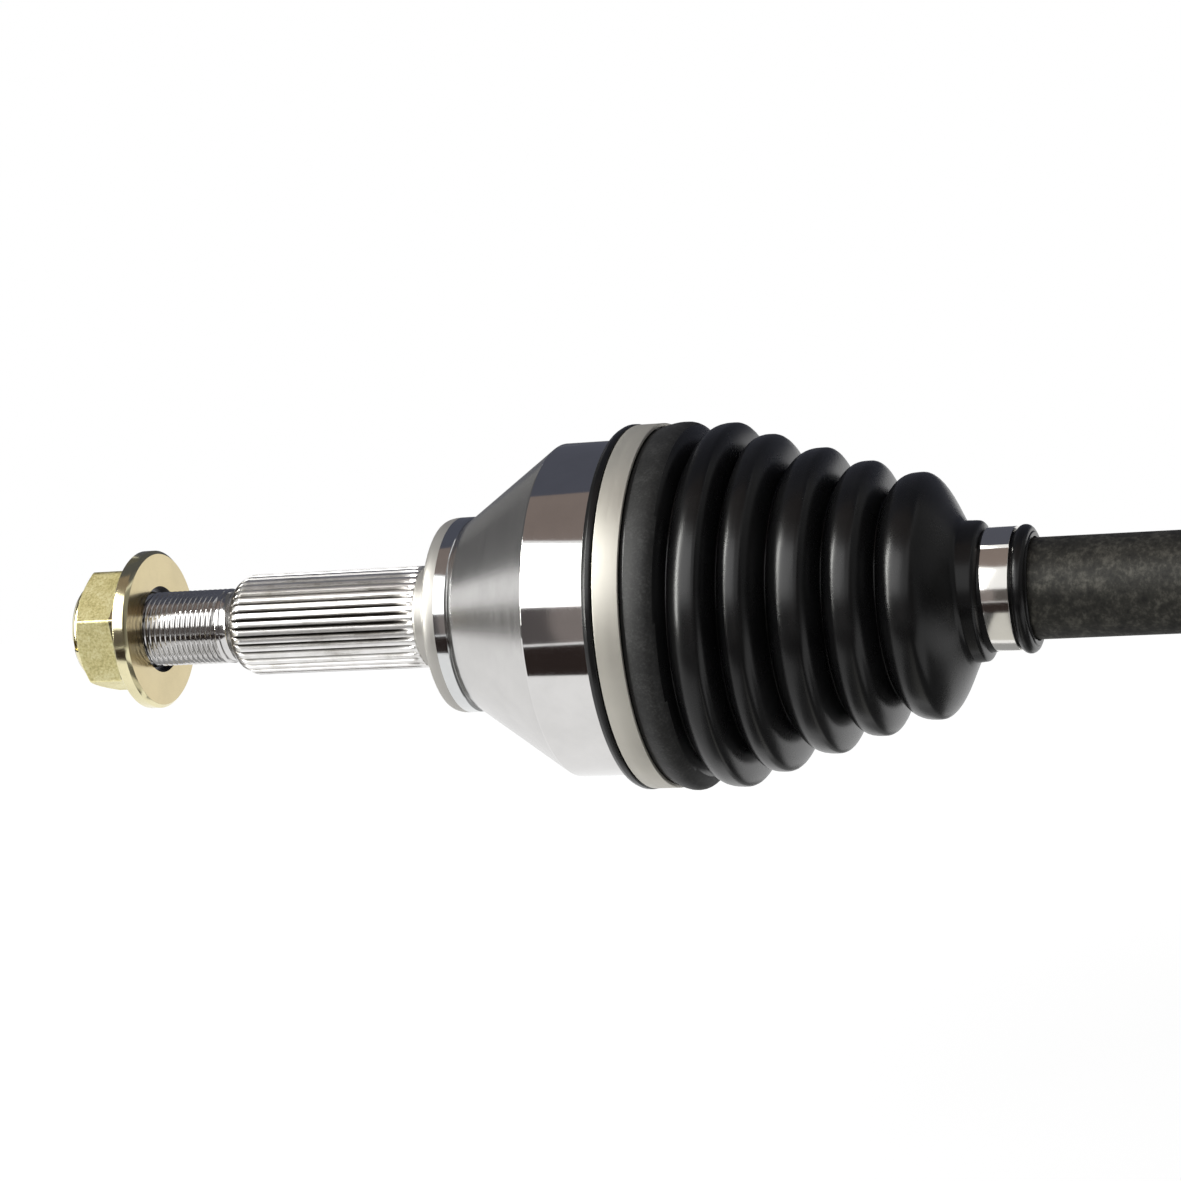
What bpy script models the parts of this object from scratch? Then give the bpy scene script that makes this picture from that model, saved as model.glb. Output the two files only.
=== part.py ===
"""A front constant-velocity axle, from the hub nut to the gearbox stub.

X runs along the axle from the wheel to the gearbox, Z is up, and the origin is on the
bar halfway between the two joint centres. Each joint is built around its own empty,
whose local Z axis points from the joint's centre along the bar, so a station z in a
profile is a distance from that centre towards the middle of the bar.
"""

import math

import bmesh
import bpy
from mathutils import Matrix

MM = 0.001

# Fits
GAP = 0.3 * MM  # between faces that touch on the real axle
PLAY = 0.5 * MM  # between the spherical faces of race, cage and housing

# Bar
JOINT_SPAN = 400 * MM  # between the two joint centres
BAR_RADIUS = 12.6 * MM
BAR_NECK_RADIUS = 11.5 * MM  # through the races and as far as the bar swings in a housing
BAR_NECK_LENGTH = 46 * MM  # from a joint's centre
BAR_TAPER_LENGTH = 10 * MM  # from the neck up to the full bar
BAR_TAIL = 3 * MM  # end of the bar past its clip
BAR_CHAMFER = 1 * MM

# Races, cages and clips of both joints
BALL_COUNT = 6
BALL_TURN = math.radians(90)  # of the first ball around the axle, which puts it level with the bar
RACE_WIDTH = 21.5 * MM
CAGE_WIDTH = 25 * MM
CAGE_WALL = 5.2 * MM
WINDOW_SIDE_ROOM = 1.8 * MM  # past a ball at each end of its window, around the cage
CLIP_WIDTH = 2 * MM
CLIP_GROOVE_DEPTH = 1.6 * MM
CLIP_HEIGHT = 1.5 * MM  # that a clip stands out of its groove
CLIP_MOUTH = math.radians(36)  # gap in a clip

# Outer joint: a fixed ball joint
BELL_RADIUS = 43 * MM
BELL_WALL = 4 * MM  # behind a ball track
BELL_BARREL = 29.5 * MM  # length of the bell's cylinder
BELL_MOUTH = 18 * MM  # from the joint's centre
BELL_BACK_WALL = 11.8 * MM  # between the bell's hollow and its shoulder
BELL_EDGE = 1 * MM
OUTER_RACE_FLOOR = 7 * MM  # of race between a ball track and the bar
BELL_SIDE_PLAY = 1.1 * MM  # for a ball to shift sideways in its track as the joint bends
RACE_SIDE_PLAY = 1.7 * MM  # the same in the race, which bends two ways against the cage
OUTER_SWING = math.radians(46.5)  # furthest that the bar leans in the bell's mouth
SWING_ROOM = 0.6 * MM

# Shoulder ring and stub of the outer housing
RING_RADIUS = 25.5 * MM
RING_WIDTH = 6.9 * MM
RING_EDGE_LENGTH = 3.2 * MM  # of its rounded front edge
RING_EDGE_DROP = 0.9 * MM
CONE_STEP = 0.6 * MM  # from the ring down to the foot of the bell's cone
STUB_FILLET = 4 * MM  # from the stub up to the ring's face
SPLINE_TEETH = 36
SPLINE_RADIUS = 13.4 * MM
SPLINE_DEPTH = 1.1 * MM
SPLINE_LENGTH = 51 * MM
SPLINE_CHAMFER = 2 * MM
SPLINE_TO_SHOULDER = 8 * MM
COLLAR_STEP = 0.2 * MM  # from the tooth tips up to the plain collar behind them
RELIEF_LENGTH = 5.5 * MM  # between the thread and the spline
RELIEF_RADIUS = 9.6 * MM
THREAD_RADIUS = 10 * MM
THREAD_CHAMFER = 1.5 * MM
THREAD_SETBACK = 0.5 * MM  # of the stub's end inside the nut's collar

# Hub nut: a hexagon with a round flange, and a collar to stake to the stub
NUT_TO_SHOULDER = 85.9 * MM  # from its flange's face to the shoulder ring
NUT_HEIGHT = 18.7 * MM  # without the collar
NUT_FLATS = 30 * MM
NUT_FLANGE_RADIUS = 21.3 * MM
NUT_RIM = 4 * MM
NUT_FLARE = 3.2 * MM  # from the rim up to the hexagon's corners
NUT_CROWN = 2.1 * MM  # length of the cone from the corners down to the collar
NUT_COLLAR_LENGTH = 2.1 * MM
NUT_COLLAR_RADIUS = 13.5 * MM  # at its root
NUT_COLLAR_TAPER = 0.5 * MM
NUT_COUNTERSINK = 1.1 * MM
NUT_EDGE = 0.8 * MM
NUT_TURN = math.radians(14)  # of the corner that faces forward, above the level

# Outer boot
BOOT_WALL = 1.6 * MM
BOOT_OVERLAP = 12.4 * MM  # of a boot on its housing
BOOT_SEAT_WALL = 2.2 * MM  # of rubber under a large clamp
BOOT_LIP_HEIGHT = 1.3 * MM  # above that seat
BOOT_LIP_WIDTH = 2.6 * MM
OUTER_FOLD_DEPTH = 8 * MM  # of a valley below the lower of the crests beside it
FOLD_FLATNESS = 3.2  # power of the curve from a crest down to its valley
# Crests from the bell's mouth: distance from the mouth, and radius above the bell's
OUTER_CRESTS = (
    (3.6 * MM, 4.4 * MM),
    (15.9 * MM, 3.3 * MM),
    (25.6 * MM, -0.5 * MM),
    (38.7 * MM, -4.5 * MM),
    (50.3 * MM, -8.8 * MM),
    (63.2 * MM, -12.4 * MM),
)
NECK_WALL = 1.3 * MM  # of rubber under a small clamp
NECK_STEP = 3.6 * MM  # height of the ring at the foot of the last fold
NECK_STEP_WIDTH = 5.7 * MM
NECK_BEAD = 1.8 * MM  # height of the end bead
NECK_END = 4 * MM  # of boot past its small clamp
OUTER_FOLDS_TO_NECK = 9.8 * MM  # from the last crest to the neck's step

# Inner joint: a plunging ball joint
CUP_RADIUS = 39.5 * MM
CUP_WALL = 4.8 * MM
CUP_MOUTH = 31 * MM  # from the joint's centre
CUP_DEPTH = 34 * MM  # hollow past the centre
CUP_FLOOR = 9 * MM
CUP_EDGE = 1 * MM
CUP_SHOULDER = 12 * MM  # length of the cone from the cup down to the journal
CUP_TRACK_DEPTH = 26 * MM  # of the ball tracks past the centre
INNER_RACE_FLOOR = 6.5 * MM
INNER_SLIDE_PLAY = 0.5 * MM
INNER_SIDE_PLAY = 0.9 * MM
WIRE_RING_SETBACK = 3 * MM  # of the retaining ring's groove from the mouth
WIRE_RING_DEPTH = 2.2 * MM
WIRE_RING_REACH = 0.8 * MM  # that the retaining ring reaches into the bore
JOURNAL_RADIUS = 20 * MM  # for the gearbox seal
JOURNAL_LENGTH = 24 * MM
STUB_TEETH = 28
STUB_RADIUS = 13.2 * MM
STUB_DEPTH = 1.2 * MM
STUB_LENGTH = 40 * MM
STUB_TAIL = 5 * MM  # past the teeth, with the clip's groove
STUB_CHAMFER = 1.5 * MM

# Inner boot, with its crests placed as on the outer one
INNER_CRESTS = (
    (9 * MM, 6 * MM),
    (20 * MM, 5.5 * MM),
    (31.5 * MM, 4 * MM),
    (43 * MM, 0 * MM),
    (54.5 * MM, -5 * MM),
    (66 * MM, -11 * MM),
)
INNER_FOLD_DEPTH = 7 * MM
INNER_FOLDS_TO_NECK = 8 * MM

# Clamps
LARGE_BAND_WIDTH = 6.6 * MM
LARGE_BAND = 0.8 * MM  # thickness
SMALL_BAND_WIDTH = 7.2 * MM
SMALL_BAND = 0.7 * MM
EAR_HEIGHT = 3 * MM
EAR_WIDTH = 6 * MM
EAR_TURN = math.radians(90)  # around the axle, which faces away from the photographed side

# Smoothness
STEPS = 30
SMALL_STEPS = 20
BOOT_STEPS = 20
CLIP_STEPS = 12
BALL_STEPS = 10
SPHERE_ARCS = 6
TUBE_RESOLUTION = 3
TUBE_SIDES = 2 * (TUBE_RESOLUTION + 2)
TRACK_POINTS = 7
TRACK_REACH = math.radians(43)  # of a curved ball track to each side of the joint's centre
MERGE = 0.00001

# Sizes that follow from those above
RACE_BORE = BAR_NECK_RADIUS + GAP
OUTER_TRACK_TOP = BELL_RADIUS - BELL_WALL - BELL_SIDE_PLAY
OUTER_TRACK_FLOOR = RACE_BORE + OUTER_RACE_FLOOR + RACE_SIDE_PLAY
OUTER_BALL_RADIUS = (OUTER_TRACK_TOP - OUTER_TRACK_FLOOR) / 2
OUTER_PATH = OUTER_TRACK_TOP - OUTER_BALL_RADIUS
INNER_TRACK_TOP = CUP_RADIUS - CUP_WALL - INNER_SLIDE_PLAY
INNER_TRACK_FLOOR = RACE_BORE + INNER_RACE_FLOOR + INNER_SIDE_PLAY
INNER_BALL_RADIUS = (INNER_TRACK_TOP - INNER_TRACK_FLOOR) / 2
INNER_PATH = INNER_TRACK_TOP - INNER_BALL_RADIUS
OUTER_CAGE_BORE = OUTER_PATH - CAGE_WALL / 3
INNER_CAGE_BORE = INNER_PATH - CAGE_WALL / 3
BELL_HOLLOW = OUTER_CAGE_BORE + CAGE_WALL + PLAY
CUP_BORE = INNER_CAGE_BORE + CAGE_WALL + PLAY
SHOULDER = -BELL_HOLLOW - BELL_BACK_WALL
SPLINE_END = SHOULDER - SPLINE_TO_SHOULDER
SPLINE_START = SPLINE_END - SPLINE_LENGTH
NUT_FACE = SHOULDER - NUT_TO_SHOULDER
NUT_END = NUT_FACE - NUT_HEIGHT
COLLAR_END = NUT_END - NUT_COLLAR_LENGTH
CUP_FOOT = -CUP_DEPTH - CUP_FLOOR
JOURNAL_END = CUP_FOOT - CUP_SHOULDER - JOURNAL_LENGTH
STUB_SPLINE_END = JOURNAL_END - STUB_LENGTH
STUB_END = STUB_SPLINE_END - STUB_TAIL


def new_collection(name):
    collection = bpy.data.collections.new(name)
    bpy.context.scene.collection.children.link(collection)
    return collection


def material(name, colour, roughness, metallic):
    finish = bpy.data.materials.new(name)
    finish.use_nodes = True
    shader = finish.node_tree.nodes["Principled BSDF"]
    shader.inputs["Base Color"].default_value = (*colour, 1)
    shader.inputs["Roughness"].default_value = roughness
    shader.inputs["Metallic"].default_value = metallic
    return finish


STEEL = ((0.62, 0.62, 0.6), 0.28, 1.0)
BEARING_STEEL = ((0.7, 0.7, 0.72), 0.15, 1.0)
SPRING_STEEL = ((0.3, 0.3, 0.32), 0.35, 1.0)
BARE_BAR = ((0.14, 0.13, 0.12), 0.6, 0.6)
GOLD_ZINC = ((0.52, 0.42, 0.22), 0.38, 1.0)
BAND_STEEL = ((0.72, 0.7, 0.66), 0.3, 1.0)
RUBBER = ((0.02, 0.02, 0.022), 0.6, 0.0)


def clear_scene():
    for old in list(bpy.data.objects):
        bpy.data.objects.remove(old)


def add_empty(name, x, direction):
    """A joint's centre, with local Z along the bar: direction 1 for +X, -1 for -X."""
    empty = bpy.data.objects.new(name, None)
    empty.location = (x, 0, 0)
    empty.rotation_euler = (0, direction * math.pi / 2, 0)
    PARTS.objects.link(empty)
    return empty


def add_part(name, mesh, finish, parent):
    part = bpy.data.objects.new(name, mesh)
    part.parent = parent
    part.data.materials.append(material(name, *finish))
    PARTS.objects.link(part)
    return part


def add_cutter(name, mesh, parent):
    cutter = bpy.data.objects.new(name, mesh)
    cutter.parent = parent
    cutter.hide_render = True
    cutter.display_type = "WIRE"
    CUTTERS.objects.link(cutter)
    return cutter


def boolean(part, other, operation):
    modifier = part.modifiers.new(other.name, "BOOLEAN")
    modifier.operation = operation
    modifier.solver = "EXACT"
    modifier.object = other


def profile_mesh(name, points, ring):
    """Points are (z, radius), down the outer side and back up the inner side."""
    mesh = bpy.data.meshes.new(name)
    vertices = [(radius, 0, z) for z, radius in points]
    edges = [(i, i + 1) for i in range(len(points) - 1)]
    if ring:
        edges.append((len(points) - 1, 0))
    mesh.from_pydata(vertices, edges, [])
    return mesh


def spin(part, steps):
    screw = part.modifiers.new("turned", "SCREW")
    screw.axis = "Z"
    screw.angle = 2 * math.pi
    screw.steps = steps
    screw.render_steps = steps
    screw.use_merge_vertices = True
    screw.merge_threshold = MERGE
    screw.use_smooth_shade = True


def turned(name, points, finish, parent, steps=STEPS, ring=False):
    part = add_part(name, profile_mesh(name, points, ring), finish, parent)
    spin(part, steps)
    return part


def mesh_of_curve(curve):
    """The welded mesh of a curve that is only needed as a shape."""
    helper = bpy.data.objects.new("helper", curve)
    CUTTERS.objects.link(helper)
    depsgraph = bpy.context.evaluated_depsgraph_get()
    mesh = bpy.data.meshes.new_from_object(helper.evaluated_get(depsgraph))
    bpy.data.objects.remove(helper)
    shape = bmesh.new()
    shape.from_mesh(mesh)
    bmesh.ops.remove_doubles(shape, verts=shape.verts, dist=MERGE)
    bmesh.ops.recalc_face_normals(shape, faces=shape.faces)
    shape.to_mesh(mesh)
    shape.free()
    return mesh


def prism_mesh(name, outlines, low, high):
    """Flat outlines extruded along Z from low to high; a second outline is a hole."""
    curve = bpy.data.curves.new(name, "CURVE")
    curve.dimensions = "2D"
    curve.fill_mode = "BOTH"
    curve.extrude = (high - low) / 2
    for outline in outlines:
        spline = curve.splines.new("POLY")
        spline.points.add(len(outline) - 1)
        for point, (x, y) in zip(spline.points, outline):
            point.co = (x, y, 0, 1)
        spline.use_cyclic_u = True
    mesh = mesh_of_curve(curve)
    mesh.transform(Matrix.Translation((0, 0, (high + low) / 2)))
    return mesh


def tube_mesh(name, points, radius):
    """A tube whose flats, not its edges, lie at the radius."""
    curve = bpy.data.curves.new(name, "CURVE")
    curve.dimensions = "3D"
    curve.bevel_depth = radius / math.cos(math.pi / TUBE_SIDES)
    curve.bevel_resolution = TUBE_RESOLUTION
    curve.use_fill_caps = True
    spline = curve.splines.new("POLY")
    spline.points.add(len(points) - 1)
    for point, place in zip(spline.points, points):
        point.co = (*place, 1)
    return mesh_of_curve(curve)


def repeat_around_axis(mesh, count, first_turn):
    shape = bmesh.new()
    shape.from_mesh(mesh)
    first_place = Matrix.Rotation(first_turn, 3, "Z")
    bmesh.ops.rotate(shape, verts=shape.verts, cent=(0, 0, 0), matrix=first_place)
    first = shape.verts[:] + shape.edges[:] + shape.faces[:]
    for k in range(1, count):
        copy = bmesh.ops.duplicate(shape, geom=first)["geom"]
        vertices = [item for item in copy if isinstance(item, bmesh.types.BMVert)]
        turn = Matrix.Rotation(2 * math.pi * k / count, 3, "Z")
        bmesh.ops.rotate(shape, verts=vertices, cent=(0, 0, 0), matrix=turn)
    shape.to_mesh(mesh)
    shape.free()
    return mesh


def flats_at(radius, steps):
    """The corner radius of a turned bore whose flats lie at the radius."""
    return radius / math.cos(math.pi / steps)


def polar(radius, angle):
    return (radius * math.cos(angle), radius * math.sin(angle))


def arc(centre_z, centre_r, radius, start, end, count):
    """Points (z, radius) on an arc, with angles measured from +Z towards the outside."""
    angles = [start + (end - start) * k / count for k in range(count + 1)]
    return [(centre_z + radius * math.cos(a), centre_r + radius * math.sin(a)) for a in angles]


def offset_line(points, distance, closed=False):
    """A line moved sideways, to the left of the way it runs."""
    count = len(points)
    moved = []
    for i, (u, v) in enumerate(points):
        before = points[i - 1] if i or closed else points[i]
        after = points[(i + 1) % count] if i < count - 1 or closed else points[i]
        sides = []
        for start, end in ((before, (u, v)), ((u, v), after)):
            length = math.dist(start, end)
            if length > 0:
                sides.append(((start[1] - end[1]) / length, (end[0] - start[0]) / length))
        normal_u = sum(side[0] for side in sides)
        normal_v = sum(side[1] for side in sides)
        size = math.hypot(normal_u, normal_v)
        mitre = min(2 / size, 1.6) * (len(sides) == 2) + (len(sides) == 1)
        moved.append((u + distance * mitre * normal_u / size, v + distance * mitre * normal_v / size))
    return moved


def gear_outline(teeth, tip_radius, root_radius):
    """Straight-sided spline teeth."""
    marks = ((0.16, root_radius), (0.36, tip_radius), (0.64, tip_radius), (0.84, root_radius))
    pitch = 2 * math.pi / teeth
    return [polar(radius, (k + share) * pitch) for k in range(teeth) for share, radius in marks]


def add_spline(part, name, teeth, tip_radius, depth, low, high, chamfer, parent):
    """Teeth on a stub, chamfered at their free end."""
    root_radius = tip_radius - depth
    outline = gear_outline(teeth, tip_radius, root_radius - GAP)
    tooth_ring = add_cutter(name, prism_mesh(name, [outline], low, high), parent)
    envelope_points = [
        (high + chamfer, 0),
        (high + chamfer, tip_radius + depth),
        (low + chamfer, tip_radius + depth),
        (low + chamfer, tip_radius),
        (low, tip_radius - chamfer),
        (low, 0),
    ]
    envelope = add_cutter(name + "_envelope", profile_mesh(name, envelope_points, False), parent)
    spin(envelope, STEPS)
    boolean(tooth_ring, envelope, "INTERSECT")
    boolean(part, tooth_ring, "UNION")


def track_cutter(name, path_radius, groove_radius, parent):
    """Ball tracks that curve about the joint's centre."""
    points = []
    for k in range(TRACK_POINTS):
        angle = TRACK_REACH * (2 * k / (TRACK_POINTS - 1) - 1)
        points.append((path_radius * math.cos(angle), 0, path_radius * math.sin(angle)))
    mesh = repeat_around_axis(tube_mesh(name, points, groove_radius), BALL_COUNT, BALL_TURN)
    return add_cutter(name, mesh, parent)


def make_race(name, sphere_radius, tracks, parent):
    half = RACE_WIDTH / 2
    edge = math.asin(half / sphere_radius)
    outside = arc(0, 0, sphere_radius, math.pi / 2 - edge, math.pi / 2 + edge, SPHERE_ARCS)
    bore = [(-half, RACE_BORE), (half, RACE_BORE)]
    race = turned(name, outside + bore, BEARING_STEEL, parent, SMALL_STEPS, True)
    boolean(race, tracks, "DIFFERENCE")


def make_cage(name, bore_radius, path_radius, ball_radius, parent):
    half = CAGE_WIDTH / 2
    outer_radius = bore_radius + CAGE_WALL
    outer_edge = math.asin(half / outer_radius)
    inner_edge = math.asin(half / bore_radius)
    quarter = math.pi / 2
    outside = arc(0, 0, outer_radius, quarter - outer_edge, quarter + outer_edge, SPHERE_ARCS)
    inside = arc(0, 0, bore_radius, quarter + inner_edge, quarter - inner_edge, SPHERE_ARCS)
    cage = turned(name, outside + inside, BEARING_STEEL, parent, SMALL_STEPS, True)
    across = ball_radius + GAP
    along = ball_radius + WINDOW_SIDE_ROOM
    corner = WINDOW_SIDE_ROOM
    outline = [
        (along, across - corner),
        (along - corner, across),
        (corner - along, across),
        (-along, across - corner),
        (-along, corner - across),
        (corner - along, -across),
        (along - corner, -across),
        (along, corner - across),
    ]
    mesh = prism_mesh(name, [outline], path_radius - CAGE_WALL, path_radius + CAGE_WALL)
    # From a window facing up the axis to one facing sideways, its length around the cage
    mesh.transform(Matrix.Rotation(math.pi / 2, 4, "Y") @ Matrix.Rotation(math.pi / 2, 4, "Z"))
    windows = repeat_around_axis(mesh, BALL_COUNT, BALL_TURN)
    boolean(cage, add_cutter(name + "_windows", windows, parent), "DIFFERENCE")


def make_balls(prefix, path_radius, ball_radius, parent):
    for k in range(BALL_COUNT):
        shape = bmesh.new()
        rings = BALL_STEPS - 2
        bmesh.ops.create_uvsphere(shape, u_segments=BALL_STEPS, v_segments=rings, radius=ball_radius)
        for face in shape.faces:
            face.smooth = True
        mesh = bpy.data.meshes.new(f"{prefix}_{k + 1}")
        shape.to_mesh(mesh)
        shape.free()
        ball = add_part(f"{prefix}_{k + 1}", mesh, BEARING_STEEL, parent)
        ball.location = (*polar(path_radius, BALL_TURN + 2 * math.pi * k / BALL_COUNT), 0)


def make_clip(name, inner_radius, outer_radius, low, parent):
    """A flat spring clip with a gap."""
    count = CLIP_STEPS
    first = CLIP_MOUTH / 2
    angles = [first + (2 * math.pi - CLIP_MOUTH) * k / count for k in range(count + 1)]
    outline = [polar(outer_radius, a) for a in angles] + [polar(inner_radius, a) for a in reversed(angles)]
    add_part(name, prism_mesh(name, [outline], low, low + CLIP_WIDTH), SPRING_STEEL, parent)


def make_bar_clips(prefix, parent):
    """The clip at the end of the bar and the stop ring on the race's other side."""
    inner_radius = BAR_NECK_RADIUS - CLIP_GROOVE_DEPTH + GAP
    outer_radius = BAR_NECK_RADIUS + CLIP_HEIGHT
    seat = RACE_WIDTH / 2 + GAP
    make_clip(prefix + "_circlip", inner_radius, outer_radius, -seat - CLIP_WIDTH, parent)
    make_clip(prefix + "_stop_ring", inner_radius, outer_radius, seat, parent)


def make_bar():
    """Both halves of the bar have one profile, from the middle out to the end."""
    half = RACE_WIDTH / 2
    floor = BAR_NECK_RADIUS - CLIP_GROOVE_DEPTH
    groove = CLIP_WIDTH + 2 * GAP
    tip = -half - groove - BAR_TAIL
    stations = [
        (BAR_NECK_LENGTH + BAR_TAPER_LENGTH, BAR_RADIUS),
        (BAR_NECK_LENGTH, BAR_NECK_RADIUS),
        (half + groove, BAR_NECK_RADIUS),
        (half + groove, floor),
        (half, floor),
        (half, BAR_NECK_RADIUS),
        (-half, BAR_NECK_RADIUS),
        (-half, floor),
        (-half - groove, floor),
        (-half - groove, BAR_NECK_RADIUS),
        (tip + BAR_CHAMFER, BAR_NECK_RADIUS),
        (tip, BAR_NECK_RADIUS - BAR_CHAMFER),
        (tip, 0),
    ]
    gearbox_end = [(JOINT_SPAN / 2 - z, radius) for z, radius in reversed(stations)]
    wheel_end = [(z - JOINT_SPAN / 2, radius) for z, radius in stations]
    bar = turned("axle_bar", gearbox_end + wheel_end, BARE_BAR, None, SMALL_STEPS)
    bar.rotation_euler = (0, math.pi / 2, 0)


def make_outer_housing(parent, tracks):
    reach = BAR_NECK_RADIUS + SWING_ROOM
    hold = OUTER_SWING + math.asin(reach / BELL_HOLLOW)
    mouth_radius = (reach + BELL_MOUTH * math.sin(OUTER_SWING)) / math.cos(OUTER_SWING)
    hollow = arc(0, 0, BELL_HOLLOW, math.pi, hold, 9)
    hollow[0] = (-BELL_HOLLOW, 0)
    ring_back = SHOULDER + RING_WIDTH
    collar = SPLINE_RADIUS + COLLAR_STEP
    root = SPLINE_RADIUS - SPLINE_DEPTH
    # A quarter turn of the ring's front edge, longer than it is deep
    turn = [math.pi / 2 * k / 3 for k in range(4)]
    edge = [
        (
            SHOULDER + RING_EDGE_LENGTH * (1 - math.sin(a)),
            RING_RADIUS - RING_EDGE_DROP * (1 - math.cos(a)),
        )
        for a in turn
    ]
    fillet = arc(SHOULDER - STUB_FILLET, collar + STUB_FILLET, STUB_FILLET, 0, -math.pi / 2, 4)
    thread_start = SPLINE_START - RELIEF_LENGTH
    tip = COLLAR_END + THREAD_SETBACK
    outside = [
        (BELL_MOUTH, mouth_radius),
        (BELL_MOUTH, BELL_RADIUS - BELL_EDGE),
        (BELL_MOUTH - BELL_EDGE, BELL_RADIUS),
        (BELL_MOUTH - BELL_BARREL, BELL_RADIUS),
        (ring_back, RING_RADIUS - CONE_STEP),
        (ring_back, RING_RADIUS),
        *edge,
        *fillet,
        (SPLINE_END, collar),
        (SPLINE_END, root),
        (SPLINE_START, root),
        (SPLINE_START - (root - RELIEF_RADIUS), RELIEF_RADIUS),
        (thread_start, RELIEF_RADIUS),
        (thread_start - (THREAD_RADIUS - RELIEF_RADIUS), THREAD_RADIUS),
        (tip + THREAD_CHAMFER, THREAD_RADIUS),
        (tip, THREAD_RADIUS - THREAD_CHAMFER),
        (tip, 0),
    ]
    housing = turned("outer_housing", hollow + outside, STEEL, parent)
    boolean(housing, tracks, "DIFFERENCE")
    add_spline(
        housing,
        "hub_spline",
        SPLINE_TEETH,
        SPLINE_RADIUS,
        SPLINE_DEPTH,
        SPLINE_START,
        SPLINE_END + GAP,
        SPLINE_CHAMFER,
        parent,
    )


def make_nut(parent):
    bore = THREAD_RADIUS + GAP
    flats = NUT_FLATS / 2
    corner = flats / math.cos(math.pi / 6)
    rim_back = NUT_FACE - NUT_RIM
    points = [
        (NUT_FACE, bore + NUT_COUNTERSINK),
        (NUT_FACE, NUT_FLANGE_RADIUS - NUT_EDGE),
        (NUT_FACE - NUT_EDGE, NUT_FLANGE_RADIUS),
        (rim_back, NUT_FLANGE_RADIUS),
        (rim_back - NUT_FLARE, corner),
        (NUT_END + NUT_CROWN, corner),
        (NUT_END, NUT_COLLAR_RADIUS),
        (COLLAR_END, NUT_COLLAR_RADIUS - NUT_COLLAR_TAPER),
        (COLLAR_END, bore),
        (NUT_FACE - NUT_COUNTERSINK, bore),
    ]
    nut = turned("axle_nut", points, GOLD_ZINC, parent, STEPS, True)
    # The cut that leaves the hexagon; local -X is up and local -Y is towards the photograph's view
    first = -math.pi / 2 - NUT_TURN
    hexagon = [polar(corner, first + math.pi / 3 * k) for k in range(6)]
    surround = [polar(2 * NUT_FLANGE_RADIUS, math.pi / 6 * k) for k in range(12)]
    mesh = prism_mesh("nut_flats", [surround, hexagon], NUT_END - NUT_EDGE, rim_back - NUT_FLARE / 2)
    boolean(nut, add_cutter("nut_flats", mesh, parent), "DIFFERENCE")


def folds(crests, fold_depth, folds_to_neck, mouth, housing_radius, neck_radius):
    """The boot's folded outside, from the neck's step to the first crest."""
    line = [(mouth + crests[-1][0] + folds_to_neck, neck_radius)]
    for k in range(len(crests) - 1, -1, -1):
        z = mouth + crests[k][0]
        radius = housing_radius + crests[k][1]
        if k < len(crests) - 1:
            after = (z + mouth + crests[k + 1][0]) / 2
            depth = radius - (housing_radius + crests[k + 1][1] - fold_depth)
            low_side = [(after, depth, 1), (after, depth, 0.8), (after, depth, 0.5)]
        else:
            low_side = [(line[0][0], radius - neck_radius, 0.8), (line[0][0], radius - neck_radius, 0.5)]
        for far, depth, share in low_side:
            line.append((z + (far - z) * share, radius - depth * share**FOLD_FLATNESS))
        line.append((z, radius))
        if k > 0:
            before = (z + mouth + crests[k - 1][0]) / 2
            for share in (0.5, 0.8):
                line.append((z + (before - z) * share, radius - fold_depth * share**FOLD_FLATNESS))
    return line


def make_boot(name, crests, fold_depth, folds_to_neck, mouth, housing_radius, parent):
    seat = housing_radius + GAP + BOOT_SEAT_WALL
    lip = seat + BOOT_LIP_HEIGHT
    open_end = mouth - BOOT_OVERLAP
    housing_bore = flats_at(housing_radius + GAP, BOOT_STEPS)
    bar_bore = flats_at(BAR_RADIUS + GAP, BOOT_STEPS)
    small_seat = BAR_RADIUS + GAP + NECK_WALL
    step = small_seat + NECK_STEP
    fold_line = folds(crests, fold_depth, folds_to_neck, mouth, housing_radius, step)
    neck = fold_line[0][0]
    band = neck + NECK_STEP_WIDTH
    end = band + SMALL_BAND_WIDTH + 2 * GAP + NECK_END
    bead = end - NECK_END / 2
    outside = [
        (end, small_seat),
        (bead, small_seat + NECK_BEAD),
        (end - NECK_END, small_seat),
        (band, small_seat),
        (band - GAP, step),
        *fold_line,
        (open_end + BOOT_LIP_WIDTH + LARGE_BAND_WIDTH + 2 * GAP, seat),
        (open_end + BOOT_LIP_WIDTH, seat),
        (open_end + BOOT_LIP_WIDTH - GAP, lip),
        (open_end, lip),
    ]
    under_folds = offset_line(fold_line, BOOT_WALL)
    inside = [(open_end, housing_bore), (mouth - BOOT_WALL, housing_bore)]
    inside += reversed(under_folds[1:])
    inside += [(neck + BOOT_WALL, bar_bore), (end, bar_bore)]
    turned(name, outside + inside, RUBBER, parent, BOOT_STEPS, True)
    large_low = open_end + BOOT_LIP_WIDTH + GAP
    make_clamp(name + "_large_clamp", seat + GAP, LARGE_BAND, large_low, LARGE_BAND_WIDTH, parent)
    make_clamp(name + "_small_clamp", small_seat + GAP, SMALL_BAND, band + GAP, SMALL_BAND_WIDTH, parent)


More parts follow.
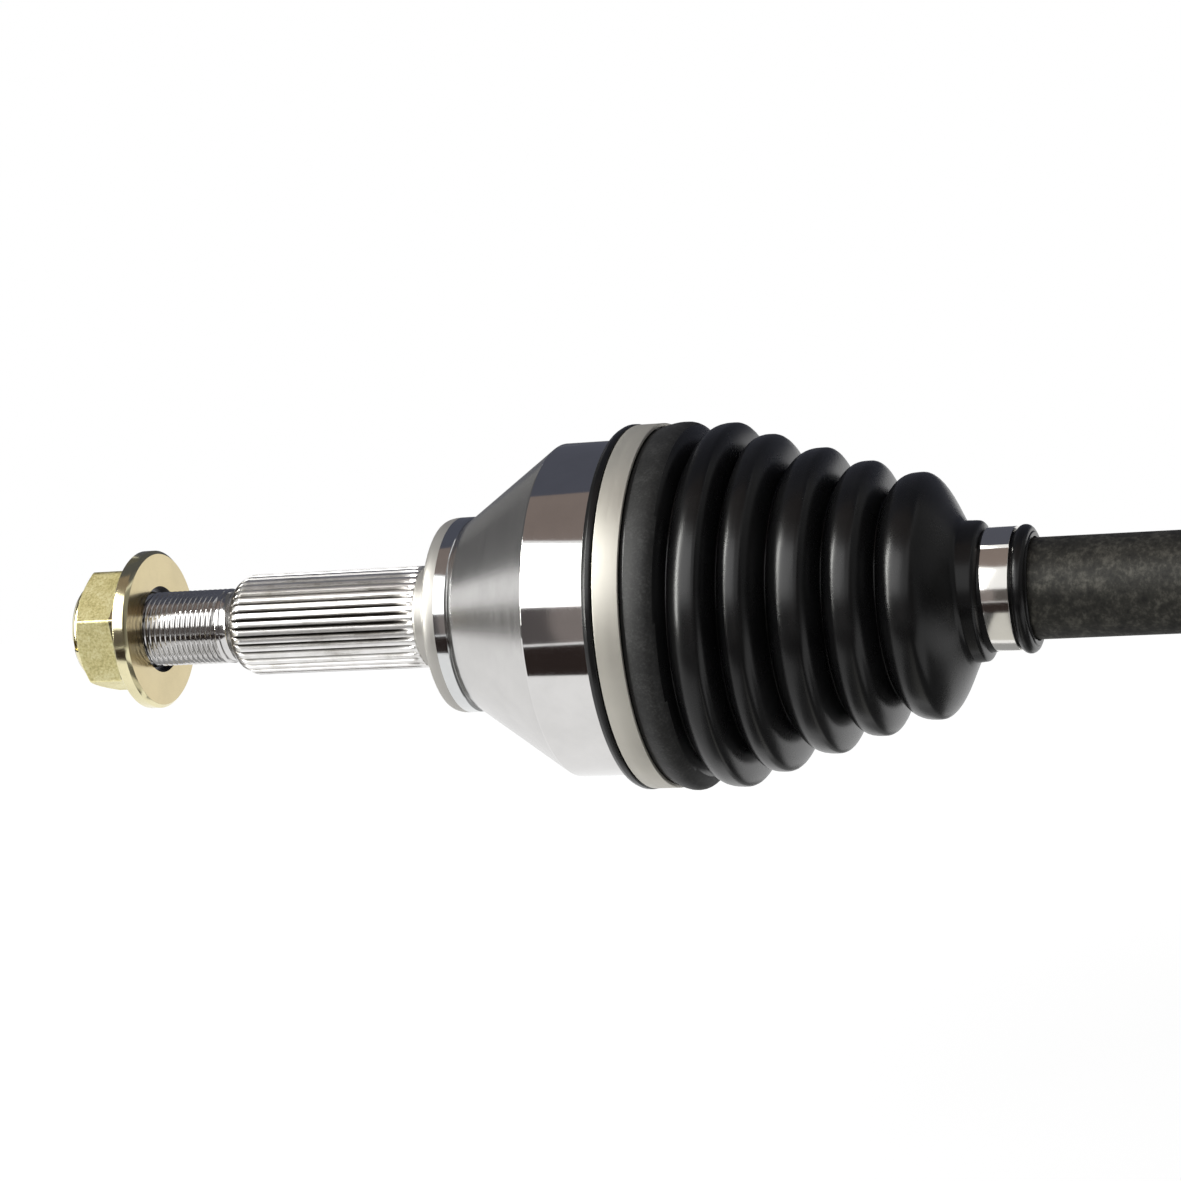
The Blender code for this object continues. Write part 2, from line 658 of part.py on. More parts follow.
def make_clamp(name, inner_radius, thickness, low, width, parent):
    """A band drawn tight by a pinched ear."""
    middle = flats_at(inner_radius, STEPS) + thickness / 2
    foot = EAR_WIDTH / 2 / middle
    count = STEPS
    angles = [foot + (2 * math.pi - 2 * foot) * k / count for k in range(count + 1)]
    line = [polar(middle, EAR_TURN + a) for a in angles]
    line.append(polar(middle + EAR_HEIGHT, EAR_TURN - foot / 2))
    line.append(polar(middle + EAR_HEIGHT, EAR_TURN + foot / 2))
    outlines = [offset_line(line, -thickness / 2, True), offset_line(line, thickness / 2, True)]
    add_part(name, prism_mesh(name, outlines, low, low + width), BAND_STEEL, parent)


def make_inner_housing(parent):
    ring_low = CUP_MOUTH - WIRE_RING_SETBACK - CLIP_WIDTH - 2 * GAP
    ring_high = CUP_MOUTH - WIRE_RING_SETBACK
    stub_root = STUB_RADIUS - STUB_DEPTH
    clip_floor = stub_root - CLIP_GROOVE_DEPTH
    clip_high = STUB_SPLINE_END - GAP
    clip_low = clip_high - CLIP_WIDTH - 2 * GAP
    points = [
        (-CUP_DEPTH, 0),
        (-CUP_DEPTH, CUP_BORE),
        (ring_low, CUP_BORE),
        (ring_low, CUP_BORE + WIRE_RING_DEPTH),
        (ring_high, CUP_BORE + WIRE_RING_DEPTH),
        (ring_high, CUP_BORE),
        (CUP_MOUTH - CUP_EDGE, CUP_BORE),
        (CUP_MOUTH, CUP_BORE + CUP_EDGE),
        (CUP_MOUTH, CUP_RADIUS - CUP_EDGE),
        (CUP_MOUTH - CUP_EDGE, CUP_RADIUS),
        (CUP_FOOT + CUP_EDGE, CUP_RADIUS),
        (CUP_FOOT, CUP_RADIUS - CUP_EDGE),
        (CUP_FOOT - CUP_SHOULDER, JOURNAL_RADIUS),
        (JOURNAL_END + STUB_CHAMFER, JOURNAL_RADIUS),
        (JOURNAL_END, JOURNAL_RADIUS - STUB_CHAMFER),
        (JOURNAL_END, stub_root),
        (clip_high, stub_root),
        (clip_high, clip_floor),
        (clip_low, clip_floor),
        (clip_low, stub_root),
        (STUB_END + STUB_CHAMFER, stub_root),
        (STUB_END, stub_root - STUB_CHAMFER),
        (STUB_END, 0),
    ]
    housing = turned("inner_housing", points, STEEL, parent)
    path = [(INNER_PATH, 0, -CUP_TRACK_DEPTH), (INNER_PATH, 0, CUP_MOUTH + INNER_BALL_RADIUS)]
    mesh = tube_mesh("cup_tracks", path, INNER_BALL_RADIUS + INNER_SLIDE_PLAY)
    tracks = repeat_around_axis(mesh, BALL_COUNT, BALL_TURN)
    boolean(housing, add_cutter("cup_tracks", tracks, parent), "DIFFERENCE")
    add_spline(
        housing,
        "gearbox_spline",
        STUB_TEETH,
        STUB_RADIUS,
        STUB_DEPTH,
        STUB_SPLINE_END,
        JOURNAL_END + GAP,
        STUB_CHAMFER,
        parent,
    )
    reach = CUP_BORE - WIRE_RING_REACH
    make_clip("inner_retaining_ring", reach, CUP_BORE + WIRE_RING_DEPTH - GAP, ring_low + GAP, parent)
    make_clip("gearbox_circlip", clip_floor + GAP, stub_root + CLIP_HEIGHT, clip_low + GAP, parent)


clear_scene()
PARTS = new_collection("cv_axle")
CUTTERS = new_collection("cutters")

make_bar()

outer_joint = add_empty("outer_joint", -JOINT_SPAN / 2, 1)
bell_tracks = track_cutter("bell_tracks", OUTER_PATH, OUTER_BALL_RADIUS + BELL_SIDE_PLAY, outer_joint)
make_outer_housing(outer_joint, bell_tracks)
race_tracks = track_cutter("race_tracks", OUTER_PATH, OUTER_BALL_RADIUS + RACE_SIDE_PLAY, outer_joint)
make_race("outer_race", OUTER_CAGE_BORE - PLAY, race_tracks, outer_joint)
make_cage("outer_cage", OUTER_CAGE_BORE, OUTER_PATH, OUTER_BALL_RADIUS, outer_joint)
make_balls("outer_ball", OUTER_PATH, OUTER_BALL_RADIUS, outer_joint)
make_bar_clips("outer", outer_joint)
make_boot(
    "outer_boot", OUTER_CRESTS, OUTER_FOLD_DEPTH, OUTER_FOLDS_TO_NECK, BELL_MOUTH, BELL_RADIUS, outer_joint
)
make_nut(outer_joint)

inner_joint = add_empty("inner_joint", JOINT_SPAN / 2, -1)
inner_tracks = track_cutter("inner_tracks", INNER_PATH, INNER_BALL_RADIUS + INNER_SIDE_PLAY, inner_joint)
make_inner_housing(inner_joint)
make_race("inner_race", INNER_CAGE_BORE - PLAY, inner_tracks, inner_joint)
make_cage("inner_cage", INNER_CAGE_BORE, INNER_PATH, INNER_BALL_RADIUS, inner_joint)
make_balls("inner_ball", INNER_PATH, INNER_BALL_RADIUS, inner_joint)
make_bar_clips("inner", inner_joint)
make_boot(
    "inner_boot", INNER_CRESTS, INNER_FOLD_DEPTH, INNER_FOLDS_TO_NECK, CUP_MOUTH, CUP_RADIUS, inner_joint
)
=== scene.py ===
"""The looks of the cv axle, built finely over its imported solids.

Sizes of the axle's pieces are millimetres, and the finishes and the studio are in metres. A
station is a distance from a joint's centre along the bar, towards its middle, and an angle of
0 faces the photograph's camera with 90 degrees at the top.
"""

import math

import bmesh
import bpy
import numpy as np
from mathutils import Matrix, Vector


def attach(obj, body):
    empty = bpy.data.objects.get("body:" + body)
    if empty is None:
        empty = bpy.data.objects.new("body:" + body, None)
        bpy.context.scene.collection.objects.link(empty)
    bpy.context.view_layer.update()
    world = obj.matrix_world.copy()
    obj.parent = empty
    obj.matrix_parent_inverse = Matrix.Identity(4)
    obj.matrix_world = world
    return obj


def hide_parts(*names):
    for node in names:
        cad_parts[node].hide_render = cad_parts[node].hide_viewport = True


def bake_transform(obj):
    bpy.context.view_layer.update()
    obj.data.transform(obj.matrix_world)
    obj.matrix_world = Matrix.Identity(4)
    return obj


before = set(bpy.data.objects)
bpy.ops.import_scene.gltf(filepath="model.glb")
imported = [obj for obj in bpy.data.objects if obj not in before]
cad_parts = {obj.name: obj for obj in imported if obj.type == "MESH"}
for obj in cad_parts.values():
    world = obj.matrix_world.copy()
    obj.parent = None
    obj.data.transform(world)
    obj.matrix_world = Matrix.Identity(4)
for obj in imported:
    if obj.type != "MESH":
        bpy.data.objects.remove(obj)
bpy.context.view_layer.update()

MM = 0.001
TINY = 1e-6
OUTER = (-200.0, 1.0)  # a joint's centre along X, and the way its stations run
INNER = (200.0, -1.0)
MIDDLE = (0.0, 1.0)  # the same for stations that count from the middle of the bar
SHOULDER = -44.967  # station of the outer housing's shoulder


# Meshes

FILLET_REACH = 0.48  # share of a side that the fillet at one of its ends may take
CREASE = 32  # degrees between two faces from which their edge stays sharp


def rounded(corners, steps=4):
    """A line through (station, radius) or (station, radius, fillet) corners."""
    line = []
    for i, corner in enumerate(corners):
        here = np.array(corner[:2], float)
        if len(corner) < 3:
            line.append(tuple(here))
            continue
        to_last = np.array(corners[i - 1][:2], float) - here
        to_next = np.array(corners[(i + 1) % len(corners)][:2], float) - here
        last_length = np.linalg.norm(to_last)
        next_length = np.linalg.norm(to_next)
        cosine = float(to_last @ to_next) / (last_length * next_length)
        half = math.acos(max(-1, min(1, cosine))) / 2
        shorter = min(last_length, next_length)
        reach = min(corner[2] / math.tan(half), FILLET_REACH * shorter)
        start = here + to_last / last_length * reach
        end = here + to_next / next_length * reach
        for k in range(steps + 1):
            t = k / steps
            line.append(tuple((1 - t) ** 2 * start + 2 * t * (1 - t) * here + t * t * end))
    return line


def spaced(low, high, step):
    """Even stops from low to high, about a step apart."""
    count = max(1, round(abs(high - low) / step))
    return [low + (high - low) * k / count for k in range(count + 1)]


def object_of(name, points, faces, crease):
    """A smooth-shaded object in the scene, with its faces turned outwards."""
    mesh = bpy.data.meshes.new(name)
    mesh.from_pydata(points, [], faces)
    shape = bmesh.new()
    shape.from_mesh(mesh)
    bmesh.ops.recalc_face_normals(shape, faces=shape.faces)
    shape.to_mesh(mesh)
    shape.free()
    mesh.shade_smooth()
    mesh.set_sharp_from_angle(angle=math.radians(crease))
    thing = bpy.data.objects.new(name, mesh)
    bpy.context.scene.collection.objects.link(thing)
    return thing


def revolve(name, profile, joint=OUTER, segments=96, loop=False, reshape=None, crease=CREASE):
    """A turned body. reshape(stations, angles, radii) may change the radii of the grid."""
    centre, way = joint
    stations = np.array([p[0] for p in profile], float)
    radii = np.array([p[1] for p in profile], float)
    angles = np.linspace(0, 2 * np.pi, segments, endpoint=False)
    grid_s, grid_a = np.meshgrid(stations, angles, indexing="ij")
    grid_r = np.repeat(radii[:, None], segments, axis=1)
    if reshape:
        grid_r = reshape(grid_s, grid_a, grid_r)
    x = centre + way * grid_s
    y = -grid_r * np.cos(grid_a)
    z = grid_r * np.sin(grid_a)
    points = []
    rows = []
    for i in range(len(profile)):
        if grid_r[i].max() < TINY:
            rows.append([len(points)])
            points.append((x[i, 0] * MM, 0, 0))
        else:
            rows.append(list(range(len(points), len(points) + segments)))
            points += [(x[i, k] * MM, y[i, k] * MM, z[i, k] * MM) for k in range(segments)]
    pairs = list(zip(rows[:-1], rows[1:]))
    if loop:
        pairs.append((rows[-1], rows[0]))
    faces = []
    for low, high in pairs:
        for k in range(segments):
            after = (k + 1) % segments
            if len(low) == 1 and len(high) == 1:
                continue
            if len(low) == 1:
                faces.append((low[0], high[k], high[after]))
            elif len(high) == 1:
                faces.append((low[k], high[0], low[after]))
            else:
                faces.append((low[k], high[k], high[after], low[after]))
    return object_of(name, points, faces, crease)


def tube_along(path, radius):
    """A closed tube along a path of points."""
    curve = bpy.data.curves.new("groove", "CURVE")
    curve.dimensions = "3D"
    curve.bevel_depth = radius * MM
    curve.bevel_resolution = 6
    curve.use_fill_caps = True
    spline = curve.splines.new("POLY")
    spline.points.add(len(path) - 1)
    for point, place in zip(spline.points, path):
        point.co = (*(c * MM for c in place), 1)
    helper = bpy.data.objects.new("groove", curve)
    bpy.context.scene.collection.objects.link(helper)
    graph = bpy.context.evaluated_depsgraph_get()
    mesh = bpy.data.meshes.new_from_object(helper.evaluated_get(graph))
    bpy.data.objects.remove(helper)
    shape = bmesh.new()
    shape.from_mesh(mesh)
    bmesh.ops.remove_doubles(shape, verts=shape.verts, dist=TINY)
    bmesh.ops.recalc_face_normals(shape, faces=shape.faces)
    shape.to_mesh(mesh)
    shape.free()
    tube = bpy.data.objects.new("groove", mesh)
    bpy.context.scene.collection.objects.link(tube)
    return tube


def cut_tracks(thing, path, radius):
    """Cuts six round grooves, evenly around the axle, along a path of (x, radius) points."""
    for k in range(6):
        turn = math.radians(60 * k)
        track = [(x, -r * math.cos(turn), r * math.sin(turn)) for x, r in path]
        cutter = tube_along(track, radius)
        modifier = thing.modifiers.new("groove", "BOOLEAN")
        modifier.operation = "DIFFERENCE"
        modifier.solver = "EXACT"
        modifier.object = cutter
        graph = bpy.context.evaluated_depsgraph_get()
        result = bpy.data.meshes.new_from_object(thing.evaluated_get(graph))
        thing.modifiers.clear()
        thing.data = result
        bpy.data.objects.remove(cutter)
    thing.data.shade_smooth()
    thing.data.set_sharp_from_angle(angle=math.radians(CREASE))


# Material nodes


def node(tree, kind, settings=None, **inputs):
    """A new node. An input is given by its name, with _ for a space, or by its number, as in i0."""
    made = tree.nodes.new(kind)
    for key, value in (settings or {}).items():
        setattr(made, key, value)
    for key, value in inputs.items():
        numbered = key[0] == "i" and key[1:].isdigit()
        socket = made.inputs[int(key[1:]) if numbered else key.replace("_", " ")]
        if isinstance(value, bpy.types.NodeSocket):
            tree.links.new(value, socket)
        else:
            socket.default_value = value
    return made


def grey(value):
    return (value, value, value)


def maths(tree, operation, a, b=0.0):
    return node(tree, "ShaderNodeMath", {"operation": operation}, i0=a, i1=b).outputs[0]


def mixed(tree, a, b, share):
    """The first value's share of a sum, with the rest from the second."""
    first = maths(tree, "MULTIPLY", a, share)
    second = maths(tree, "MULTIPLY", b, 1 - share)
    return maths(tree, "ADD", first, second)


def span(tree, value, low, high):
    return node(tree, "ShaderNodeMapRange", Value=value, To_Min=low, To_Max=high).outputs["Result"]


def ramp(tree, factor, stops):
    made = node(tree, "ShaderNodeValToRGB", Fac=factor)
    elements = made.color_ramp.elements
    while len(elements) < len(stops):
        elements.new(0.5)
    for element, (place, colour) in zip(elements, stops):
        element.position = place
        element.color = (*colour, 1)
    return made.outputs["Color"]


def noise(tree, place, scale, detail, roughness):
    made = node(
        tree, "ShaderNodeTexNoise", Vector=place, Scale=scale, Detail=detail, Roughness=roughness
    )
    return made.outputs["Fac"]


def own_place(tree):
    """Places in a piece's own coordinates."""
    return node(tree, "ShaderNodeTexCoord").outputs["Object"]


def from_axis(tree, y, z):
    """Distances from the line that the axle turns around."""
    squares = maths(tree, "ADD", maths(tree, "MULTIPLY", y, y), maths(tree, "MULTIPLY", z, z))
    return maths(tree, "SQRT", squares)


def turned_place(tree, place, along, around):
    """A texture place that stretches around the axle, so that noise there reads as tool marks."""
    x, y, z = node(tree, "ShaderNodeSeparateXYZ", Vector=place).outputs
    radius = from_axis(tree, y, z)
    never_zero = maths(tree, "MAXIMUM", radius, 0.0001)
    run = maths(tree, "MULTIPLY", maths(tree, "ADD", x, radius), along)
    turn_y = maths(tree, "MULTIPLY", maths(tree, "DIVIDE", y, never_zero), around)
    turn_z = maths(tree, "MULTIPLY", maths(tree, "DIVIDE", z, never_zero), around)
    return node(tree, "ShaderNodeCombineXYZ", X=run, Y=turn_y, Z=turn_z).outputs[0]


def shader_of(finish):
    return finish.node_tree.nodes["Principled BSDF"]


def new_finish(name, metallic, roughness, colour):
    """A plain finish. Its nodes may then take the place of the colour and the roughness."""
    finish = bpy.data.materials.new(name)
    finish.use_nodes = True
    shader = shader_of(finish)
    shader.inputs["Metallic"].default_value = metallic
    shader.inputs["Roughness"].default_value = roughness
    shader.inputs["Base Color"].default_value = (*colour, 1)
    return finish, finish.node_tree, shader


def paint(tree, shader, factor, stops):
    tree.links.new(ramp(tree, factor, stops), shader.inputs["Base Color"])


def roughen(tree, shader, factor, low, high):
    tree.links.new(span(tree, factor, low, high), shader.inputs["Roughness"])


def bump(tree, shader, height, strength, distance):
    made = node(tree, "ShaderNodeBump", Strength=strength, Distance=distance, Height=height)
    tree.links.new(made.outputs["Normal"], shader.inputs["Normal"])


# Finishes

# Machined steels: colour, roughness, strength of the tool marks, how closely these lie, and
# how far stains darken the colour
TURNED_STEELS = {
    "zinc_turned": ((0.86, 0.79, 0.5), 0.14, 0.12, 2600.0, 0.12),
    "zinc_face": ((0.7, 0.59, 0.35), 0.15, 0.2, 2600.0, 0.08),
    "thread_steel": ((0.72, 0.71, 0.7), 0.12, 0.06, 2500.0, 0.1),
    "ring_steel": ((0.7, 0.71, 0.71), 0.1, 0.03, 1600.0, 0.08),
    "edge_steel": ((0.62, 0.6, 0.56), 0.42, 0.15, 1900.0, 0.06),
    "cone_steel": ((0.64, 0.63, 0.62), 0.2, 0.12, 1900.0, 0.06),
    "bell_steel": ((0.7, 0.69, 0.68), 0.07, 0.02, 1500.0, 0.06),
    "cup_steel": ((0.6, 0.59, 0.58), 0.24, 0.15, 1500.0, 0.1),
    "band_steel": ((0.74, 0.71, 0.63), 0.44, 0.05, 900.0, 0.05),
    "chrome_band": ((0.84, 0.82, 0.78), 0.13, 0.02, 700.0, 0.05),
    "bearing_steel": ((0.66, 0.66, 0.68), 0.14, 0.05, 1200.0, 0.05),
    "spring_steel": ((0.24, 0.24, 0.26), 0.35, 0.1, 1200.0, 0.15),
}
COMBED = {"zinc_face": 0.6, "cone_steel": 0.5}  # how far their highlights stretch
PART_METAL = {"edge_steel": 0.4, "band_steel": 0.45}  # how far they mirror as metal does

# The painted shade in the gaps between the splines' teeth, and the radii between which it gives way
# to the worn steel
GAP_SHADE = (0.12, 0.11, 0.1, 1)
SHADED_RADIUS = 12.35
UNSHADED_RADIUS = 12.95


def turned_steel(name, colour, roughness, marks, lines, stain):
    """Machined steel: tool marks around the axle and a faint change of colour."""
    finish, tree, shader = new_finish(name, 1.0, roughness, colour)
    place = own_place(tree)
    tool = noise(tree, turned_place(tree, place, lines, 2.5), 1.0, 2.0, 0.6)
    cloud = noise(tree, place, 90.0, 4.0, 0.6)
    dark = tuple(c * (1 - stain) for c in colour)
    paint(tree, shader, cloud, [(0.35, dark), (0.62, colour)])
    roughen(tree, shader, tool, roughness * 0.75, roughness * 1.3)
    bump(tree, shader, tool, marks, 0.00004)
    return finish


def comb(finish, strength):
    """Stretches the highlights of a turned face across its tool marks."""
    shader = shader_of(finish)
    shader.inputs["Anisotropic"].default_value = strength
    tree = finish.node_tree
    tangent = node(tree, "ShaderNodeTangent", {"direction_type": "RADIAL", "axis": "X"})
    tree.links.new(tangent.outputs[0], shader.inputs["Tangent"])


def zinc_flats():
    """Yellow zinc on forged flats: grainy and blotched."""
    finish, tree, shader = new_finish("zinc_flats", 1.0, 0.36, (0.56, 0.47, 0.22))
    place = own_place(tree)
    grain = noise(tree, place, 1500.0, 3.0, 0.7)
    blotch = noise(tree, place, 260.0, 4.0, 0.6)
    both = mixed(tree, grain, blotch, 0.6)
    stops = [
        (0.36, (0.6, 0.53, 0.23)),
        (0.5, (0.84, 0.76, 0.38)),
        (0.64, (0.98, 0.93, 0.6)),
    ]
    paint(tree, shader, both, stops)
    roughen(tree, shader, grain, 0.3, 0.5)
    bump(tree, shader, both, 0.5, 0.00012)
    return finish


def spline_steel():
    """Streaked, worn steel, with painted shade in the gaps between the teeth."""
    finish, tree, shader = new_finish("spline_steel", 1.0, 0.26, (0.72, 0.71, 0.7))
    place = own_place(tree)
    stretch = node(tree, "ShaderNodeMapping", Vector=place, Scale=(60, 900, 900))
    streak = noise(tree, stretch.outputs[0], 1.0, 4.0, 0.65)
    patch = noise(tree, place, 140.0, 5.0, 0.65)
    wear = mixed(tree, streak, patch, 0.55)
    stops = [
        (0.36, (0.5, 0.48, 0.45)),
        (0.47, (0.82, 0.81, 0.79)),
        (0.6, (0.92, 0.91, 0.9)),
    ]
    worn = ramp(tree, wear, stops)
    # Painted shade: dark steel in the gaps between the teeth, blending into the worn steel on them
    y, z = node(tree, "ShaderNodeSeparateXYZ", Vector=place).outputs[1:]
    height = node(
        tree,
        "ShaderNodeMapRange",
        Value=from_axis(tree, y, z),
        From_Min=SHADED_RADIUS * MM,
        From_Max=UNSHADED_RADIUS * MM,
    )
    share = height.outputs["Result"]
    gap_shaded = node(tree, "ShaderNodeMix", {"data_type": "RGBA"}, i0=share, i6=GAP_SHADE, i7=worn)
    tree.links.new(gap_shaded.outputs[2], shader.inputs["Base Color"])
    roughen(tree, shader, wear, 0.42, 0.26)
    bump(tree, shader, wear, 0.3, 0.0001)
    return finish


def boot_rubber():
    """Black rubber with a soft shine and a little dust."""
    finish, tree, shader = new_finish("boot_rubber", 0.0, 0.5, (0.016, 0.016, 0.017))
    place = own_place(tree)
    fine = noise(tree, place, 900.0, 3.0, 0.6)
    dust = noise(tree, place, 55.0, 5.0, 0.6)
    paint(tree, shader, dust, [(0.4, (0.007, 0.007, 0.0075)), (0.66, (0.013, 0.013, 0.0135))])
    roughen(tree, shader, dust, 0.23, 0.32)
    shader.inputs["Specular IOR Level"].default_value = 0.35
    bump(tree, shader, fine, 0.12, 0.0001)
    return finish


def land_rubber():
    """The scuffed, greyer rubber beside a boot's large clamp: greyer partly from dust and scuffs, and
    partly as painted light, lighter where the lamp falls on it.
    """
    finish, tree, shader = new_finish("land_rubber", 0.0, 0.55, grey(0.04))
    place = own_place(tree)
    fine = noise(tree, place, 1400.0, 3.0, 0.7)
    dust = noise(tree, place, 160.0, 5.0, 0.65)
    scuff = mixed(tree, fine, dust, 0.5)
    # Greyer than the boot's other rubber, partly from dust and partly as painted light where this
    # band faces the lamp
    stops = [
        (0.36, (0.022, 0.022, 0.022)),
        (0.52, (0.04, 0.04, 0.039)),
        (0.7, (0.09, 0.09, 0.088)),
    ]
    paint(tree, shader, scuff, stops)
    shader.inputs["Specular IOR Level"].default_value = 0.3
    bump(tree, shader, scuff, 0.25, 0.0001)
    return finish


def bar_steel():
    """Dark, blotched steel as it comes from the forge."""
    finish, tree, shader = new_finish("bar_steel", 0.35, 0.55, (0.06, 0.056, 0.05))
    place = own_place(tree)
    bands = noise(tree, turned_place(tree, place, 900.0, 9.0), 1.0, 4.0, 0.65)
    blotch = noise(tree, place, 240.0, 5.0, 0.65)
    speck = noise(tree, place, 620.0, 2.0, 0.5)
    both = mixed(tree, bands, blotch, 0.45)
    stops = [
        (0.36, (0.015, 0.0145, 0.0125)),
        (0.5, (0.046, 0.0442, 0.037)),
        (0.64, (0.14, 0.134, 0.112)),
    ]
    paint(tree, shader, both, stops)
    roughen(tree, shader, both, 0.62, 0.42)
    bump(tree, shader, speck, 0.25, 0.0002)
    return finish


def make_finishes():
    made = {}
    for make in (zinc_flats, spline_steel, boot_rubber, land_rubber, bar_steel):
        made[make.__name__] = make()
    for name, values in TURNED_STEELS.items():
        made[name] = turned_steel(name, *values)
    for name, strength in COMBED.items():
        comb(made[name], strength)
    for name, share in PART_METAL.items():
        shader_of(made[name]).inputs["Metallic"].default_value = share
    return made


FINISH = make_finishes()


def dress(thing, slot, *finishes):
    """Puts finishes on a piece, the first of them all over it."""
    thing.data.materials.clear()
    for finish in finishes:
        thing.data.materials.append(FINISH[finish])


def dress_faces(thing, slot, joint, finishes, choose):
    """Puts finishes on a piece, on each face the one that choose(station, radius) names."""
    dress(thing, slot, *finishes)
    centre, way = joint
    for face in thing.data.polygons:
        station = way * (face.center.x / MM - centre)
        radius = math.hypot(face.center.y, face.center.z) / MM
        face.material_index = finishes.index(choose(station, radius))


# Hub nut

NUT_FACE = SHOULDER - 85.9  # the flange's flat face
NUT_END = NUT_FACE - 18.7  # where the hexagon ends and the collar starts
COLLAR_END = NUT_END - 2.1
RIM_BACK = NUT_FACE - 4.0
FLARE_START = RIM_BACK - 3.2  # where the hexagon starts to run into the flange
NUT_BORE = 10.3
NUT_INSIDE = 12.0  # within this radius the nut stays round
NUT_FLAT = 15.0
NUT_CORNER = 17.15
NUT_BLANK = 18.0  # radius from which the flats are cut
RIM_RADIUS = 21.3
NUT_LEAN = math.radians(14)
SIXTH = math.pi / 3
NICK = math.radians(-11)  # place of the collar's staking notch
NICK_HALF = math.radians(6)
NICK_DEPTH = 1.1
# Painted shade: the bore's faces inside this radius take the dark spring steel
SHADED_BORE_EDGE = 11.7  # the faces of the bore lie inside this radius
FACE_PLAY = 0.02  # for faces that lie right at a station


def hexagon(stations, angles, radii):
    """Cuts the nut's flats, runs their corners into its flange and notches its collar."""
    part = (angles - NUT_LEAN + SIXTH / 2) % SIXTH - SIXTH / 2
    sides = np.minimum(NUT_FLAT / np.cos(SIXTH / 2 - np.abs(part)), NUT_CORNER)
    wide = radii > NUT_INSIDE
    body = (stations < FLARE_START) & wide
    flare = (stations >= FLARE_START) & (stations < RIM_BACK) & wide
    flared = np.where(flare, np.maximum(radii, sides), radii)
    shaped = np.where(body, np.minimum(radii, sides), flared)
    from_nick = np.abs((angles - NICK + math.pi) % (2 * math.pi) - math.pi)
    notched = (stations < NUT_END - 0.3) & wide & (from_nick < NICK_HALF)
    return np.where(notched, radii - NICK_DEPTH, shaped)


def nut_finish(station, radius):
    if station > NUT_FACE - FACE_PLAY:
        return "zinc_face"
    # Painted shade: the faces of the bore's mouth get the dark spring steel, not zinc
    if radius < SHADED_BORE_EDGE and station > FLARE_START:
        return "spring_steel"
    if station > FLARE_START - FACE_PLAY or station < NUT_END:
        return "zinc_turned"
    return "zinc_flats"


def make_nut():
    profile = [
        (COLLAR_END + 0.9, NUT_BORE),
        (COLLAR_END + 0.1, 11.0),
        (COLLAR_END, 11.2),
        (COLLAR_END, 11.6),
    ]
    # The collar's round end, the hexagon's chamfer, its sides, and the flare into the flange
    for t in np.linspace(0.05, 0.95, 8):
        profile.append((COLLAR_END + 2.0 * t, 12.0 + 1.5 * math.sin(t * math.pi / 2)))
    for t in np.linspace(0, 1, 12):
        profile.append((NUT_END + 2.1 * t, 13.5 + 3.8 * t**0.9))
    for station in spaced(NUT_END + 2.3, FLARE_START - 0.05, 1.2):
        profile.append((station, NUT_BLANK))
    for t in np.linspace(0, 1, 16):
        profile.append((FLARE_START + 0.05 + 3.1 * t, 15.1 + 5.9 * t**1.1))
    profile += rounded(
        [
            (RIM_BACK + 0.05, RIM_RADIUS - 0.2, 0.2),
            (RIM_BACK + 0.3, RIM_RADIUS, 0.2),
            (NUT_FACE - 0.9, RIM_RADIUS, 0.15),
            (NUT_FACE, 20.4, 0.12),
            (NUT_FACE, 16.0),
            (NUT_FACE, 11.6, 0.1),
            (NUT_FACE - 2.4, 11.4),
            (NUT_FACE - 2.5, NUT_BORE),
        ]
    )
    nut = revolve("hub_nut", profile, segments=240, loop=True, reshape=hexagon, crease=24)
    finishes = ("zinc_flats", "zinc_turned", "zinc_face", "spring_steel")
    dress_faces(nut, "gold_zinc", OUTER, finishes, nut_finish)
    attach(nut, "axle_nut")
    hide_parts("axle_nut")


# Outer housing

THREAD_START = COLLAR_END + 0.5
THREAD_END = SHOULDER - 64.5
THREAD_RADIUS = 10.0
THREAD_PITCH = 1.5
THREAD_DEPTH = 0.86
THREAD_RUN_OUT = 1.4  # over this length the last turn gets shallow
RELIEF_RADIUS = 9.6  # of the neck between thread and spline

HUB_SPLINE_START = SHOULDER - 60.0
HUB_SPLINE_END = SHOULDER - 7.4
HUB_TEETH = 36
HUB_TOOTH = 1.15  # height of a tooth
HUB_TIP = 13.4
HUB_FOOT = 12.0  # what lies within this radius has no teeth
HUB_RUN_OUT = 5.5
STEPS_PER_TOOTH = 8

BELL_RADIUS = 43.0
BELL_MOUTH = 18.0
CONE_END = -11.75
HOLLOW = 33.167  # radius of the bell's ball-shaped inside
HOLLOW_EDGE = math.radians(67.9)  # where it meets the mouth
TRACK_ARC = 29.2  # radius of the arcs along which the ball tracks run
TRACK_REACH = math.radians(43)  # how far the arcs run to either side
TRACK_RADIUS = 9.95
RIM_EDGE = 24.6  # radius at which the shoulder's face ends
RING_RADIUS = 25.5  # of the polished ring behind the shoulder


def helix(stations, angles, radii):
    """Cuts the turns of the thread."""
    crest = 0.14  # shares of a turn
    flank = 0.68
    turn = (stations / THREAD_PITCH - angles / (2 * math.pi)) % 1.0
    wave = np.clip((np.abs(turn - 0.5) * 2 - crest) / flank, 0, 1)
    depth = THREAD_DEPTH * np.clip((THREAD_END - 0.4 - stations) / THREAD_RUN_OUT, 0, 1)
    cut = np.where(radii > 1, depth * wave, 0)
    return np.minimum(radii, THREAD_RADIUS - cut)


